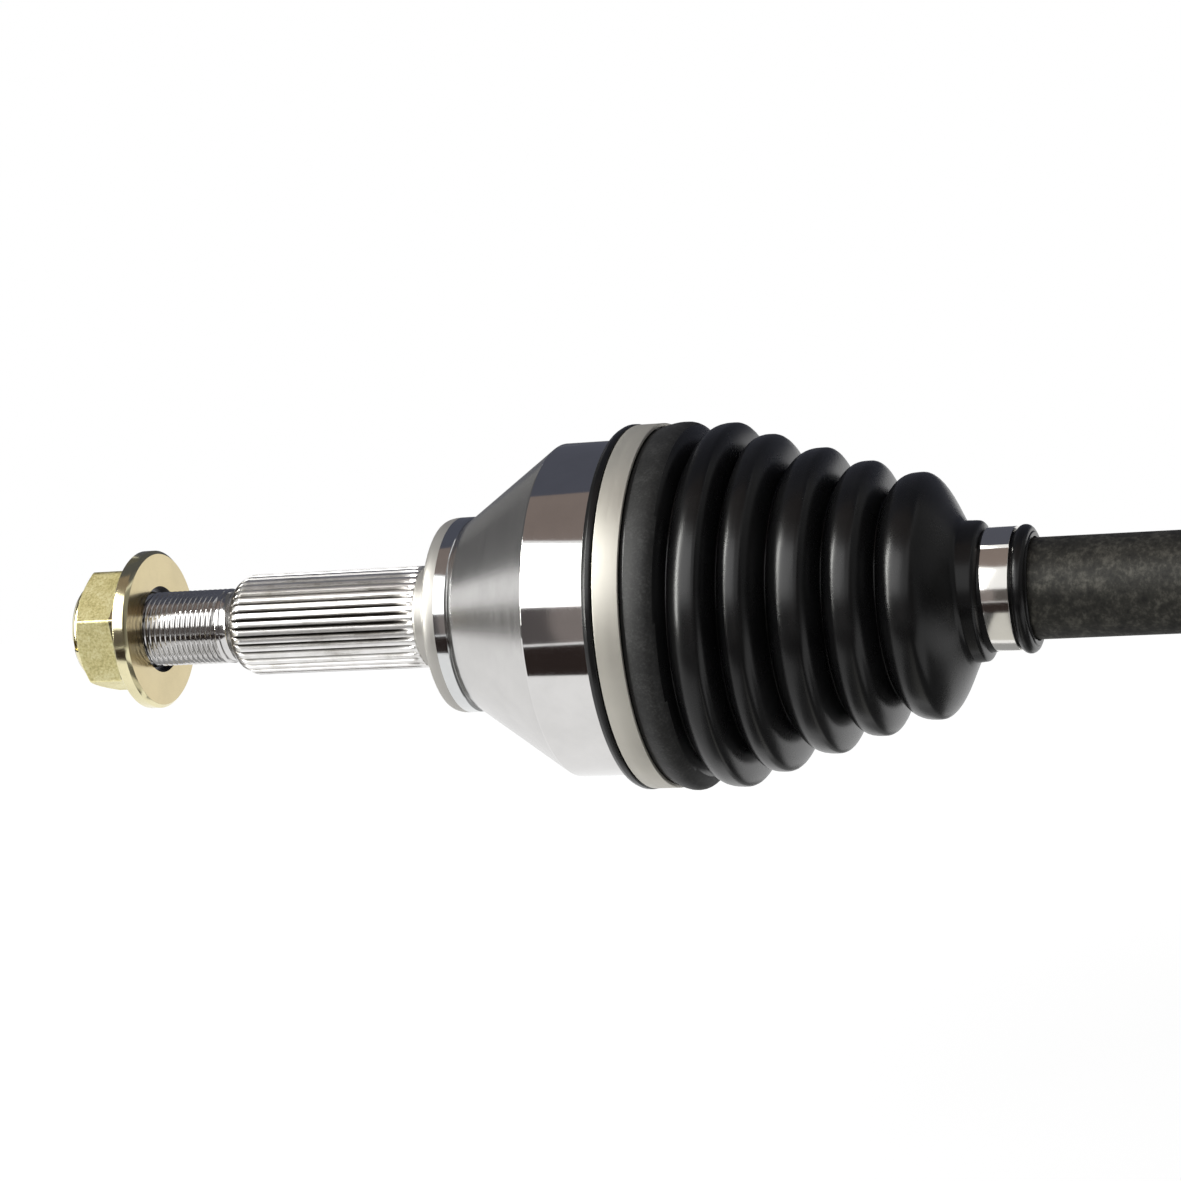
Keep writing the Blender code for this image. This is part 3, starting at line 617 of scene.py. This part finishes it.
def make_thread():
    profile = [(THREAD_START, 0.0), (THREAD_START, 8.3)]
    for station in spaced(THREAD_START, THREAD_END, THREAD_PITCH / 8):
        profile.append((station, min(THREAD_RADIUS, 8.5 + (station - THREAD_START))))
    profile += [(THREAD_END + 0.2, RELIEF_RADIUS), (THREAD_END + 0.6, 0.0)]
    thread = revolve("hub_thread", profile, segments=72, reshape=helix, crease=50)
    dress(thread, "steel", "thread_steel")
    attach(thread, "outer_housing")


def off_tooth(angles, teeth):
    """How far points lie from the middle of a tooth, which is 0, to that of a gap, which is 1."""
    return np.abs((angles * teeth / (2 * math.pi)) % 1.0 - 0.5) * 2


def hub_teeth(stations, angles, radii):
    top = 0.58  # shares of the way from a tooth's middle to the gap's
    flank = 0.27
    share = off_tooth(angles, HUB_TEETH)
    gap = np.clip((share - top) / flank, 0, 1)
    depth = HUB_TOOTH * np.clip((HUB_SPLINE_END - 0.5 - stations) / HUB_RUN_OUT, 0, 1) ** 0.6
    teeth = HUB_TIP - depth * gap - 0.25 * share * share
    return np.minimum(radii, np.where(radii > HUB_FOOT, teeth, radii))


def hub_spline_finish(station, radius):
    return "thread_steel" if station < HUB_SPLINE_START - 0.1 else "spline_steel"


def make_spline():
    start = HUB_SPLINE_START
    profile = [
        (THREAD_END, 0.0),
        (THREAD_END, RELIEF_RADIUS),
        (start - 2.7, RELIEF_RADIUS),
        (start - 2.2, 9.9),
        (start - 0.2, 11.8),
    ]
    # The teeth rise from their chamfered end and, more finely stepped, run out at the other
    profile += [(start + k * 0.4, 12.0 + k * 0.2) for k in range(8)]
    profile += [(s, HUB_TIP) for s in spaced(start + 3.2, HUB_SPLINE_END - 7, 4.0)]
    profile += [(s, HUB_TIP) for s in spaced(HUB_SPLINE_END - 6.4, HUB_SPLINE_END, 0.5)]
    profile.append((HUB_SPLINE_END, 0.0))
    segments = HUB_TEETH * STEPS_PER_TOOTH
    spline = revolve("hub_spline", profile, segments=segments, reshape=hub_teeth, crease=40)
    finishes = ("spline_steel", "thread_steel")
    dress_faces(spline, "steel", OUTER, finishes, hub_spline_finish)
    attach(spline, "outer_housing")


def bell_finish(station, radius):
    if station > CONE_END + 0.15:
        return "bell_steel"
    if station < SHOULDER + 3.3:
        return "edge_steel"
    if station < SHOULDER + 7.0 and radius > 24.8:
        return "ring_steel"
    return "cone_steel"


def make_bell():
    inside = []
    for a in np.linspace(HOLLOW_EDGE, math.pi, 24):
        inside.append((HOLLOW * math.cos(a), HOLLOW * math.sin(a)))
    inside[-1] = (-HOLLOW, 0.0)
    shoulder_edge = []
    for t in np.linspace(1.5, 0, 8):
        station = SHOULDER + 3.2 * (1 - math.sin(t))
        shoulder_edge.append((station, RIM_EDGE + (RING_RADIUS - RIM_EDGE) * math.cos(t)))
    outside = rounded(
        [
            (SHOULDER - 9.0, 0.0),
            (SHOULDER - 9.0, 12.5),
            (SHOULDER - 6.8, 13.5, 1.0),
            (SHOULDER - 4.2, 13.6, 2.0),
            (SHOULDER, 17.4, 2.4),
            (SHOULDER, RIM_EDGE, 0.25),
            *shoulder_edge,
            (SHOULDER + 3.4, RING_RADIUS),
            (SHOULDER + 6.5, RING_RADIUS, 0.2),
            (SHOULDER + 6.9, 25.1, 0.1),
            (SHOULDER + 6.95, 24.7, 0.1),
            (SHOULDER + 7.4, 25.0, 0.1),
            (CONE_END, BELL_RADIUS - 0.25, 0.2),
            (CONE_END + 0.4, BELL_RADIUS, 0.2),
            (BELL_MOUTH - 1.0, BELL_RADIUS, 0.3),
            (BELL_MOUTH, BELL_RADIUS - 1.0, 0.3),
            (BELL_MOUTH, 36.55, 0.3),
        ]
    )
    bell = revolve("outer_bell", outside + inside, segments=128)
    arc = []
    for lean in np.linspace(-TRACK_REACH, TRACK_REACH, 9):
        arc.append((OUTER[0] + TRACK_ARC * math.sin(lean), TRACK_ARC * math.cos(lean)))
    cut_tracks(bell, arc, TRACK_RADIUS)
    finishes = ("cone_steel", "ring_steel", "bell_steel", "edge_steel")
    dress_faces(bell, "steel", OUTER, finishes, bell_finish)
    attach(bell, "outer_housing")
    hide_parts("outer_housing")


# Boots

BOOT_WALL = 1.6
BOOT_FIT = 0.35  # gap between a housing and the boot around it
BOOT_LEAST = 13.0  # the least radius of a boot's inside
BOOT_SAG = 0.6  # of the folds under their own weight
SEAT_HEIGHT = 2.5  # of the large clamp's seat above the housing
LIP_HEIGHT = 1.3  # of the lip above that seat
NECK_SEAT = 14.2
NECK_STEP = NECK_SEAT + 3.6
NECK_BORE = 12.95
NECK_LENGTH = 17.5
VALLEY_PLACE = 0.38  # share of the way from a crest to the next at which their valley lies
FIRST_FLANK = 2.6  # powers that give a fold's two sides their curve down to the valleys
SECOND_FLANK = 3.2
MOUTH_POINTS = 30  # points at the ends of a boot's line that no cut may take
NECK_POINTS = 20

# Shares of the way from a crest to the valley beside it, closer together where the side is steep
FOLD_SHARES = [0.12, 0.24, 0.36, 0.47, 0.57, 0.66, 0.74, 0.81, 0.87, 0.915, 0.95, 0.975]

OUTER_CRESTS = [(21.6, 46.95), (33.9, 46.2), (43.2, 42.7), (56.7, 38.5), (68.3, 34.5), (81.4, 30.9)]
INNER_CRESTS = [(40.0, 45.5), (51.0, 45.0), (62.5, 43.5), (74.0, 39.5), (85.5, 34.5), (97.0, 28.5)]
OUTER_NECK = 91.0
INNER_NECK = 105.0

# How far the outer boot's folds lean along the axle at their bottom, by station
OUTER_LEANS = [
    (16.0, 0.0),
    (21.6, -2.0),
    (33.9, -1.0),
    (43.2, 0.0),
    (68.3, 0.5),
    (81.4, 2.0),
    (91.0, 2.0),
    (95.5, 0.5),
    (97.0, 0.0),
]
NO_LEANS = [(0.0, 0.0)]


def boot_outside(crests, depth, mouth, housing):
    """The outside of a boot from its open end to its last crest."""
    seat = housing + SEAT_HEIGHT
    lip = seat + LIP_HEIGHT
    open_end = mouth - 12.4
    line = rounded(
        [
            (open_end, housing + BOOT_FIT),
            (open_end, lip - 0.6, 0.5),
            (open_end + 1.2, lip, 0.6),
            (open_end + 2.5, lip, 0.4),
            (open_end + 2.6, seat, 0.05),
            (open_end + 9.8, seat, 0.3),
        ],
        3,
    )
    first_place, first_top = crests[0]
    land = open_end + 10.1
    for t in np.linspace(0.12, 1, 7):
        rise = math.sin(t * math.pi / 2) ** 0.8
        line.append((land + (first_place - land) * t, seat + (first_top - seat) * rise))
    for (here, top), (there, next_top) in zip(crests[:-1], crests[1:]):
        valley = here + (there - here) * VALLEY_PLACE
        low = min(top, next_top) - depth
        for t in FOLD_SHARES:
            line.append((here + (valley - here) * t, top - (top - low) * t**FIRST_FLANK))
        line += [(valley - 0.12, low + 0.3), (valley + 0.12, low + 0.3)]
        for t in reversed(FOLD_SHARES):
            fall = (next_top - low) * t**SECOND_FLANK
            line.append((there + (valley - there) * t, next_top - fall))
        line.append((there, next_top))
    return line


def neck_line(last, neck):
    """From the last crest over the neck's step and the small clamp's seat to the end bead."""
    here, top = last
    line = []
    for t in np.linspace(0, 1, 12)[1:]:
        fall = 1.3 * t**2 - 0.3 * t**5
        line.append((here + (neck - here) * t, top - (top - NECK_STEP) * fall))
    line += rounded(
        [
            (neck + 0.6, NECK_STEP - 0.1),
            (neck + 4.6, NECK_STEP - 0.3, 1.4),
            (neck + 5.6, NECK_SEAT + 0.8, 0.4),
            (neck + 5.7, NECK_SEAT, 0.1),
            (neck + 13.4, NECK_SEAT, 0.1),
        ],
        4,
    )
    bead = neck + 15.4
    for a in np.linspace(math.radians(205), math.radians(-25), 12):
        height = 1.7 * max(math.sin(a), -0.05)
        line.append((bead + 1.8 * math.cos(a), NECK_SEAT + 0.1 + height))
    end = neck + NECK_LENGTH
    line += rounded([(end - 0.2, NECK_SEAT - 0.1), (end, NECK_SEAT - 0.3, 0.1), (end, NECK_BORE)], 3)
    return line


def inner_skin(line, least):
    """The inside of a stretch of boot."""
    points = np.array(line)
    slopes = np.gradient(points, axis=0)
    slopes /= np.linalg.norm(slopes, axis=1)[:, None] + 1e-9
    moved = points + BOOT_WALL * np.stack([slopes[:, 1], -slopes[:, 0]], 1)
    moved[:, 1] = np.maximum(moved[:, 1], least)
    # Keep the stations in order, so that the skin never folds over itself
    moved[:, 0] = np.maximum.accumulate(moved[:, 0])
    return [tuple(p) for p in moved]


def smooth(value):
    """A soft step from 0 to 1."""
    t = min(1, max(0, value))
    return t * t * (3 - 2 * t)


def settle(piece, joint, mouth, neck, leans):
    """Lets a boot's folds sag a little, and lean at their bottom."""
    centre, way = joint
    places = [place for place, _ in leans]
    amounts = [amount for _, amount in leans]
    for vertex in piece.data.vertices:
        station = way * (vertex.co.x / MM - centre)
        # The sag starts 6 mm before the mouth and ends 3 mm into the neck
        past_mouth = smooth((station - mouth + 6) / 16)
        before_neck = smooth((neck + 3 - station) / 14)
        vertex.co.z -= BOOT_SAG * MM * past_mouth * before_neck
        up = vertex.co.z / max(math.hypot(vertex.co.y, vertex.co.z), TINY)
        lean = np.interp(station, places, amounts)
        vertex.co.x += way * lean * MM * (1 - up) / 2


def make_boot(name, joint, crests, depth, mouth, housing, neck, stretches, leans):
    """A boot in stretches, cut where no seam shows.

    A stretch gives two bodies and two stations. Only the first station of each stretch after the
    first is used, as the place where the boot is cut; the bodies and the second station are not used.
    """
    outside = boot_outside(crests, depth, mouth, housing) + neck_line(crests[-1], neck)
    land_start = mouth - 3
    land_end = crests[0][0] + 2.0

    def boot_finish(station, radius):
        # The greyer rubber beside the clamp is partly dust and partly painted light
        return "land_rubber" if land_start < station < land_end else "boot_rubber"

    cuts = [0]
    for stretch in stretches[1:]:
        inside_range = range(MOUTH_POINTS, len(outside) - NECK_POINTS)
        cuts.append(min(inside_range, key=lambda k: abs(outside[k][0] - stretch[2])))
    cuts.append(len(outside) - 1)
    for number, (first, second, start, end) in enumerate(stretches):
        line = outside[cuts[number] : cuts[number + 1] + 1]
        if number == 0:
            fit = housing + BOOT_FIT
            seat_count = next(k for k, p in enumerate(line) if p[0] > mouth - 0.5)
            skin = [(line[0][0], fit), (mouth - 0.4, fit)]
            skin += [p for p in inner_skin(line[seat_count:], BOOT_LEAST) if p[0] > mouth - 0.2]
        elif number == len(stretches) - 1:
            skin = [p for p in inner_skin(line, NECK_BORE) if p[0] < neck + 1.5]
            skin.append((line[-1][0] - 0.1, NECK_BORE))
        else:
            skin = inner_skin(line, BOOT_LEAST)
        piece = revolve(f"{name}_skin_{number + 1}", line + skin[::-1], joint, loop=True, crease=50)
        settle(piece, joint, mouth, neck, leans)
        dress_faces(piece, "boot_rubber", joint, ("boot_rubber", "land_rubber"), boot_finish)
        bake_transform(piece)
        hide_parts(name)


# Clamps

LAP_LENGTH = math.radians(150)
LAP_HEIGHT = 0.55

# Name, joint, first station, width, inner radius, thickness, half the width of its ear, the
# angle at which its loose end lies on the band, finish, and body
CLAMPS = [
    ("outer_large", OUTER, 8.5, 6.6, 45.8, 0.8, 3.0, None, "band_steel", "outer_housing"),
    ("inner_large", INNER, 21.5, 6.6, 42.3, 0.8, 3.0, None, "band_steel", "inner_housing"),
    ("outer_small", OUTER, 97.0, 7.2, 14.5, 0.6, 2.2, 48, "chrome_band", "shaft"),
    ("inner_small", INNER, 111.0, 7.2, 14.5, 0.6, 2.2, 48, "chrome_band", "shaft"),
]


def make_band(name, joint, low, width, inner, thick, lap, finish, body, node_name):
    """A clamp band with softened edges."""

    def overlap(stations, angles, radii):
        if lap is None:
            return radii
        past = (angles - math.radians(lap)) % (2 * math.pi)
        lapped = (past < LAP_LENGTH) & (radii > inner + thick / 2)
        return radii + np.where(lapped, LAP_HEIGHT, 0.0)

    profile = rounded(
        [
            (low, inner),
            (low, inner + thick, 0.2),
            (low + width, inner + thick, 0.2),
            (low + width, inner),
        ],
        3,
    )
    made = revolve(name, profile, joint, segments=160, loop=True, reshape=overlap, crease=40)
    dress(made, "band_steel", finish)
    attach(made, body)
    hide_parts(node_name)


def make_ear(name, joint, low, width, radius, half, finish, body):
    """The pinched ear of a clamp, on the side away from the photograph."""
    centre, way = joint
    foot = math.hypot(radius, half + 1.2) - radius + 0.1
    outline = [(-half - 1.2, -foot), (-half, 0.4), (-half + 0.5, 2.5), (-half / 2, 3.0)]
    outline += [(-u, v) for u, v in reversed(outline)]
    inner_line = [(u * 0.78, max(v - 0.8, -foot - 0.3)) for u, v in outline]
    loop = outline + inner_line[::-1]
    points = []
    for station in (low, low + width):
        for u, v in loop:
            points.append(((centre + way * station) * MM, (radius + v) * MM, u * MM))
    count = len(loop)
    faces = [(k, (k + 1) % count, (k + 1) % count + count, k + count) for k in range(count)]
    for start in (0, count):
        for k in range(len(outline) - 1):
            faces.append((start + k, start + k + 1, start + count - 2 - k, start + count - 1 - k))
    made = object_of(name, points, faces, 40)
    dress(made, "band_steel", finish)
    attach(made, body)


def make_clamps():
    for name, joint, low, width, inner, thick, _, lap, finish, body in CLAMPS:
        end, size = name.split("_")
        node_name = f"{end}_boot_{size}_clamp"
        make_band(f"{name}_band", joint, low, width, inner, thick, lap, finish, body, node_name)
    for name, joint, low, width, inner, thick, half, _, finish, body in CLAMPS:
        make_ear(f"{name}_ear", joint, low, width, inner + thick, half, finish, body)


# Bar

BAR_RADIUS = 12.6
BAR_END_RADIUS = 11.5  # where the races sit
BAR_HALF = 216.4


def make_bar():
    corners = [
        (-BAR_HALF, 0.0),
        (-BAR_HALF, BAR_END_RADIUS - 1.0, 0.2),
        (-BAR_HALF + 1.0, BAR_END_RADIUS, 0.2),
        (-154.0, BAR_END_RADIUS, 4.0),
        (-144.0, BAR_RADIUS, 4.0),
    ]
    right = [(-c[0], *c[1:]) for c in reversed(corners)]
    middle = [(s, BAR_RADIUS) for s in spaced(-140, 140, 20)]
    bar = revolve("bar", rounded(corners) + middle + rounded(right), MIDDLE)
    dress(bar, "bar_steel", "bar_steel")
    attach(bar, "shaft")
    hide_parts("axle_bar")


# Inner housing

CUP_RADIUS = 39.5
CUP_MOUTH = 31.0
CUP_BORE = 32.4
CUP_FLOOR = -34.0
CUP_TRACK_PLACE = 26.7  # radius at which the ball tracks run
CUP_TRACK_RADIUS = 8.05
STUB_START = -79.0
STUB_END = -119.0
STUB_RADIUS = 12.0
STUB_TIP = 13.2
STUB_FOOT = 11.5
STUB_TEETH = 28
STUB_TOOTH = 1.2
TAIL_END = STUB_END - 5.0
CLIP_GROOVE = 10.4  # radius at the floor of the gearbox clip's groove


def make_cup():
    corners = [
        (STUB_END, 0.0),
        (STUB_END, 10.6, 0.3),
        (STUB_END + 1.5, STUB_RADIUS, 0.3),
        (STUB_START, STUB_RADIUS),
        (STUB_START, 18.5, 0.4),
        (STUB_START + 1.5, 20.0, 0.4),
        (-55.0, 20.0, 1.5),
        (-43.0, 38.6, 1.0),
        (-42.0, CUP_RADIUS, 0.6),
        (CUP_MOUTH - 0.8, CUP_RADIUS, 0.4),
        (CUP_MOUTH, 38.6, 0.3),
        (CUP_MOUTH, CUP_BORE + 1.0, 0.3),
        (CUP_MOUTH - 1.0, CUP_BORE, 0.3),
        (CUP_FLOOR, CUP_BORE, 2.0),
        (CUP_FLOOR, 0.0),
    ]
    cup = revolve("inner_cup", rounded(corners), INNER, segments=128)
    line = [(INNER[0] - station, CUP_TRACK_PLACE) for station in np.linspace(-26, 40, 7)]
    cut_tracks(cup, line, CUP_TRACK_RADIUS)
    dress(cup, "steel", "cup_steel")
    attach(cup, "inner_housing")
    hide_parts("inner_housing")


def stub_teeth(stations, angles, radii):
    top = 0.5  # shares of the way from a tooth's middle to the gap's
    flank = 0.32
    gap = np.clip((off_tooth(angles, STUB_TEETH) - top) / flank, 0, 1)
    return np.where(radii > STUB_FOOT, np.minimum(radii, STUB_TIP - STUB_TOOTH * gap), radii)


def make_stub():
    """The gearbox end's spline, and the tail with the clip's groove beyond it."""
    profile = [
        (STUB_END, 0.0),
        (STUB_END, 11.7),
        (STUB_END + 0.8, 12.5),
        (STUB_END + 1.6, STUB_TIP),
    ]
    profile += [(s, STUB_TIP) for s in spaced(STUB_END + 2, STUB_START, 4.0)]
    profile.append((STUB_START, 0.0))
    segments = STUB_TEETH * STEPS_PER_TOOTH
    spline = revolve(
        "gearbox_spline", profile, INNER, segments=segments, reshape=stub_teeth, crease=40
    )
    dress(spline, "steel", "spline_steel")
    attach(spline, "inner_housing")

    corners = [
        (TAIL_END, 0.0),
        (TAIL_END, 10.5, 0.3),
        (TAIL_END + 1.5, STUB_RADIUS, 0.3),
        (TAIL_END + 2.1, STUB_RADIUS),
        (TAIL_END + 2.1, CLIP_GROOVE),
        (TAIL_END + 4.7, CLIP_GROOVE),
        (TAIL_END + 4.7, STUB_RADIUS),
        (TAIL_END + 6.0, STUB_RADIUS),
        (TAIL_END + 6.0, 0.0),
    ]
    tail = revolve("gearbox_tail", rounded(corners), INNER, segments=72)
    dress(tail, "steel", "cup_steel")
    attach(tail, "inner_housing")


def finish_solids():
    """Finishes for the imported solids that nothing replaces."""
    for name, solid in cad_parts.items():
        if solid.hide_render:
            continue
        wire = "ring" in name or "clip" in name
        solid.data.materials.clear()
        solid.data.materials.append(FINISH["spring_steel" if wire else "bearing_steel"])


make_nut()
make_thread()
make_spline()
make_bell()
make_boot(
    "outer_boot",
    OUTER,
    OUTER_CRESTS,
    depth=5.4,
    mouth=BELL_MOUTH,
    housing=BELL_RADIUS,
    neck=OUTER_NECK,
    stretches=[
        ("outer_housing", "outer_boot", 19.0, 62.1),
        ("outer_boot", "shaft", 62.1, 91.0),
    ],
    leans=OUTER_LEANS,
)
make_boot(
    "inner_boot",
    INNER,
    INNER_CRESTS,
    depth=7.0,
    mouth=CUP_MOUTH,
    housing=CUP_RADIUS,
    neck=INNER_NECK,
    stretches=[
        ("inner_housing", "inner_cage", 31.0, 55.4),
        ("inner_cage", "inner_boot", 55.4, 83.8),
        ("inner_boot", "shaft", 83.8, 109.0),
    ],
    leans=NO_LEANS,
)
make_clamps()
make_bar()
make_cup()
make_stub()
finish_solids()


# Studio

FLOOR = -0.25
SHADOW = (0.05, 0.42, FLOOR)  # where the axle's shadow falls
SET_CENTRE = -0.2  # along X, the middle of what the camera sees
CARD_ROWS = 8
CARD_STEP = 4  # degrees


def floor_shader(tree):
    """Pale, lifted to white for the camera so that the shadow stays, and white in reflections."""
    pale = node(tree, "ShaderNodeBsdfDiffuse", Color=(*grey(0.85), 1)).outputs[0]
    place = node(tree, "ShaderNodeNewGeometry").outputs["Position"]
    away = node(tree, "ShaderNodeVectorMath", {"operation": "DISTANCE"}, i0=place, i1=SHADOW)
    lift = node(
        tree,
        "ShaderNodeMapRange",
        Value=away.outputs["Value"],
        From_Min=0.3,
        From_Max=1.0,
        To_Min=0.7,
        To_Max=0.79,
    )
    glow = node(tree, "ShaderNodeEmission", Strength=lift.outputs["Result"]).outputs[0]
    lifted = node(tree, "ShaderNodeAddShader", i0=pale, i1=glow).outputs[0]
    white = node(tree, "ShaderNodeEmission", Strength=1.0).outputs[0]
    path = node(tree, "ShaderNodeLightPath").outputs
    mirrored = maths(tree, "MAXIMUM", path["Is Glossy Ray"], path["Is Transmission Ray"])
    to_eye = node(tree, "ShaderNodeMixShader", i0=path["Is Camera Ray"], i1=pale, i2=lifted)
    return node(tree, "ShaderNodeMixShader", i0=mirrored, i1=to_eye.outputs[0], i2=white).outputs[0]


def make_floor():
    bpy.ops.mesh.primitive_plane_add(size=1)
    floor = bpy.context.object
    floor.name = "floor"
    floor.scale = (5, 3.3, 1)
    floor.location = (0, 1.33, FLOOR)
    finish = bpy.data.materials.new("floor")
    finish.use_nodes = True
    tree = finish.node_tree
    tree.nodes.clear()
    node(tree, "ShaderNodeOutputMaterial", Surface=floor_shader(tree))
    floor.data.materials.append(finish)


def make_world():
    """White where it is seen, and dimmer as a light."""
    world = bpy.data.worlds.new("studio")
    bpy.context.scene.world = world
    world.use_nodes = True
    tree = world.node_tree
    tree.nodes.clear()
    path = node(tree, "ShaderNodeLightPath").outputs
    seen = maths(tree, "MAXIMUM", path["Is Camera Ray"], path["Is Glossy Ray"])
    seen = maths(tree, "MAXIMUM", seen, path["Is Transmission Ray"])
    strength = span(tree, seen, 0.28, 1.0)
    back = node(tree, "ShaderNodeBackground", Strength=strength, Color=(1, 1, 1, 1))
    node(tree, "ShaderNodeOutputWorld", Surface=back.outputs[0])


def glossy_only(name, colour, points, faces):
    """A shade that only shiny surfaces see."""
    mesh = bpy.data.meshes.new(name)
    mesh.from_pydata(points, [], faces)
    made = bpy.data.objects.new(name, mesh)
    bpy.context.scene.collection.objects.link(made)
    finish = bpy.data.materials.new(name)
    finish.use_nodes = True
    tree = finish.node_tree
    tree.nodes.clear()
    glow = node(tree, "ShaderNodeEmission", Strength=1.0, Color=(*colour, 1))
    node(tree, "ShaderNodeOutputMaterial", Surface=glow.outputs[0])
    mesh.materials.append(finish)
    made.visible_camera = False
    made.visible_diffuse = False
    made.visible_shadow = False


def card(name, colour, edges, radius=1.6):
    """A card around the set. Each edge gives an angle around it, with 0 to the front and 90 on
    the left, and the lowest and highest elevation that the card covers there."""
    angles, lows, highs = zip(*edges)
    stops = spaced(angles[0], angles[-1], CARD_STEP)
    points = []
    for around in stops:
        low = np.interp(around, angles, lows)
        high = np.interp(around, angles, highs)
        turn = math.radians(around)
        for r in range(CARD_ROWS + 1):
            lift = math.radians(low + (high - low) * r / CARD_ROWS)
            x = SET_CENTRE - radius * math.cos(lift) * math.sin(turn)
            y = -radius * math.cos(lift) * math.cos(turn)
            points.append((x, y, radius * math.sin(lift)))
    faces = []
    for c in range(len(stops) - 1):
        for r in range(CARD_ROWS):
            a = c * (CARD_ROWS + 1) + r
            faces.append((a, a + CARD_ROWS + 1, a + CARD_ROWS + 2, a + 1))
    glossy_only(name, colour, points, faces)


def flag(name, colour, across, deep):
    """A card on the floor."""
    points = [(x, y, FLOOR + 0.005) for x in across for y in deep]
    glossy_only(name, colour, points, [(0, 2, 3, 1)])


def softbox(name, place, aim, size, power):
    lamp = bpy.data.lights.new(name, "AREA")
    lamp.shape = "RECTANGLE"
    lamp.size = size
    lamp.size_y = size
    lamp.energy = power
    made = bpy.data.objects.new(name, lamp)
    made.location = place
    made.rotation_euler = (Vector(aim) - Vector(place)).to_track_quat("-Z", "Y").to_euler()
    bpy.context.scene.collection.objects.link(made)


def make_camera():
    turn = math.radians(19.2)
    lift = math.radians(4.0)
    roll = math.radians(-4.17)
    distance = 0.825
    middle = Vector((-0.208, 0, 0))
    raised = 0.0048  # how far the picture's middle lies above that point
    back = Vector((math.sin(turn) * math.cos(lift), -math.cos(turn) * math.cos(lift), math.sin(lift)))
    right = Vector((math.cos(turn), math.sin(turn), 0))
    up = back.cross(right)
    right_rolled = right * math.cos(roll) + up * math.sin(roll)
    up_rolled = up * math.cos(roll) - right * math.sin(roll)
    aim = middle + up_rolled * raised
    lens = bpy.data.cameras.new("camera")
    lens.sensor_width = 36
    lens.lens = 97.5
    eye = bpy.data.objects.new("camera", lens)
    turned = Matrix((right_rolled, up_rolled, back)).transposed()
    eye.matrix_world = Matrix.Translation(aim + back * distance) @ turned.to_4x4()
    bpy.context.scene.collection.objects.link(eye)
    bpy.context.scene.camera = eye


make_floor()
make_world()
card("low_front", (0.25, 0.22, 0.21), [(8, -16, 7), (21, -16, 7)])
card("low_front_middle", (0.1, 0.09, 0.085), [(-60, -16, 45), (-20, -16, 7), (8, -16, 7)])
card("low_front_right", grey(0.25), [(-140, -16, 45), (-60, -16, 45)])
card("low_front_left", (0.1, 0.09, 0.09), [(21, -16, 7), (60, -16, 7), (74, -16, 4)])
card("low_front_edge", (0.03, 0.022, 0.02), [(-60, -38, -17.4), (60, -38, -17.4), (74, -30, -17.4)])
card("low_left", (0.16, 0.155, 0.15), [(70, -28, 3), (96, -24, 3), (112, -14, -6)])
card("high_front", (0.245, 0.2, 0.18), [(-90, 48, 90), (90, 48, 90)])
card("high_left", (0.11, 0.11, 0.112), [(58, 30, 48), (76, 14, 48), (140, 14, 48)])
card(
    "high_back",
    (0.09, 0.095, 0.12),
    [(90, 48, 90), (138, 48, 90), (146, 7, 90), (215, 7, 90), (235, 48, 90), (270, 48, 90)],
)
softbox("front_softbox", (-0.733, -0.805, 0.48), (SET_CENTRE, 0, 0), 0.765, 4.12)
card("low_floor", grey(0.1), [(28, -75, -38), (66, -75, -38)])
# As bright as a lamp, for the streak along each of the boot's folds
card("shoulder_glow", (24.0, 24.0, 23.0), [(56, -4, 46), (60, -4, 44), (68, -4, 34)], 1.5)
flag("floor_flag", grey(0.08), (-0.25, -0.18), (-0.32, 0.05))
flag("floor_flag_middle", (0.66, 0.65, 0.61), (-0.18, -0.105), (-0.32, 0.05))
flag("floor_flag_right", grey(0.12), (-0.105, 0.06), (-0.32, 0.3))
flag("floor_flag_far", grey(0.12), (0.06, 0.4), (0.0, 0.35))
flag("floor_flag_back", grey(0.35), (-0.22, -0.105), (0.1, 0.6))
card("back_left", grey(0.2), [(125, -25, 24), (168, -25, 24)])
make_camera()

bpy.context.scene.view_settings.view_transform = "Standard"
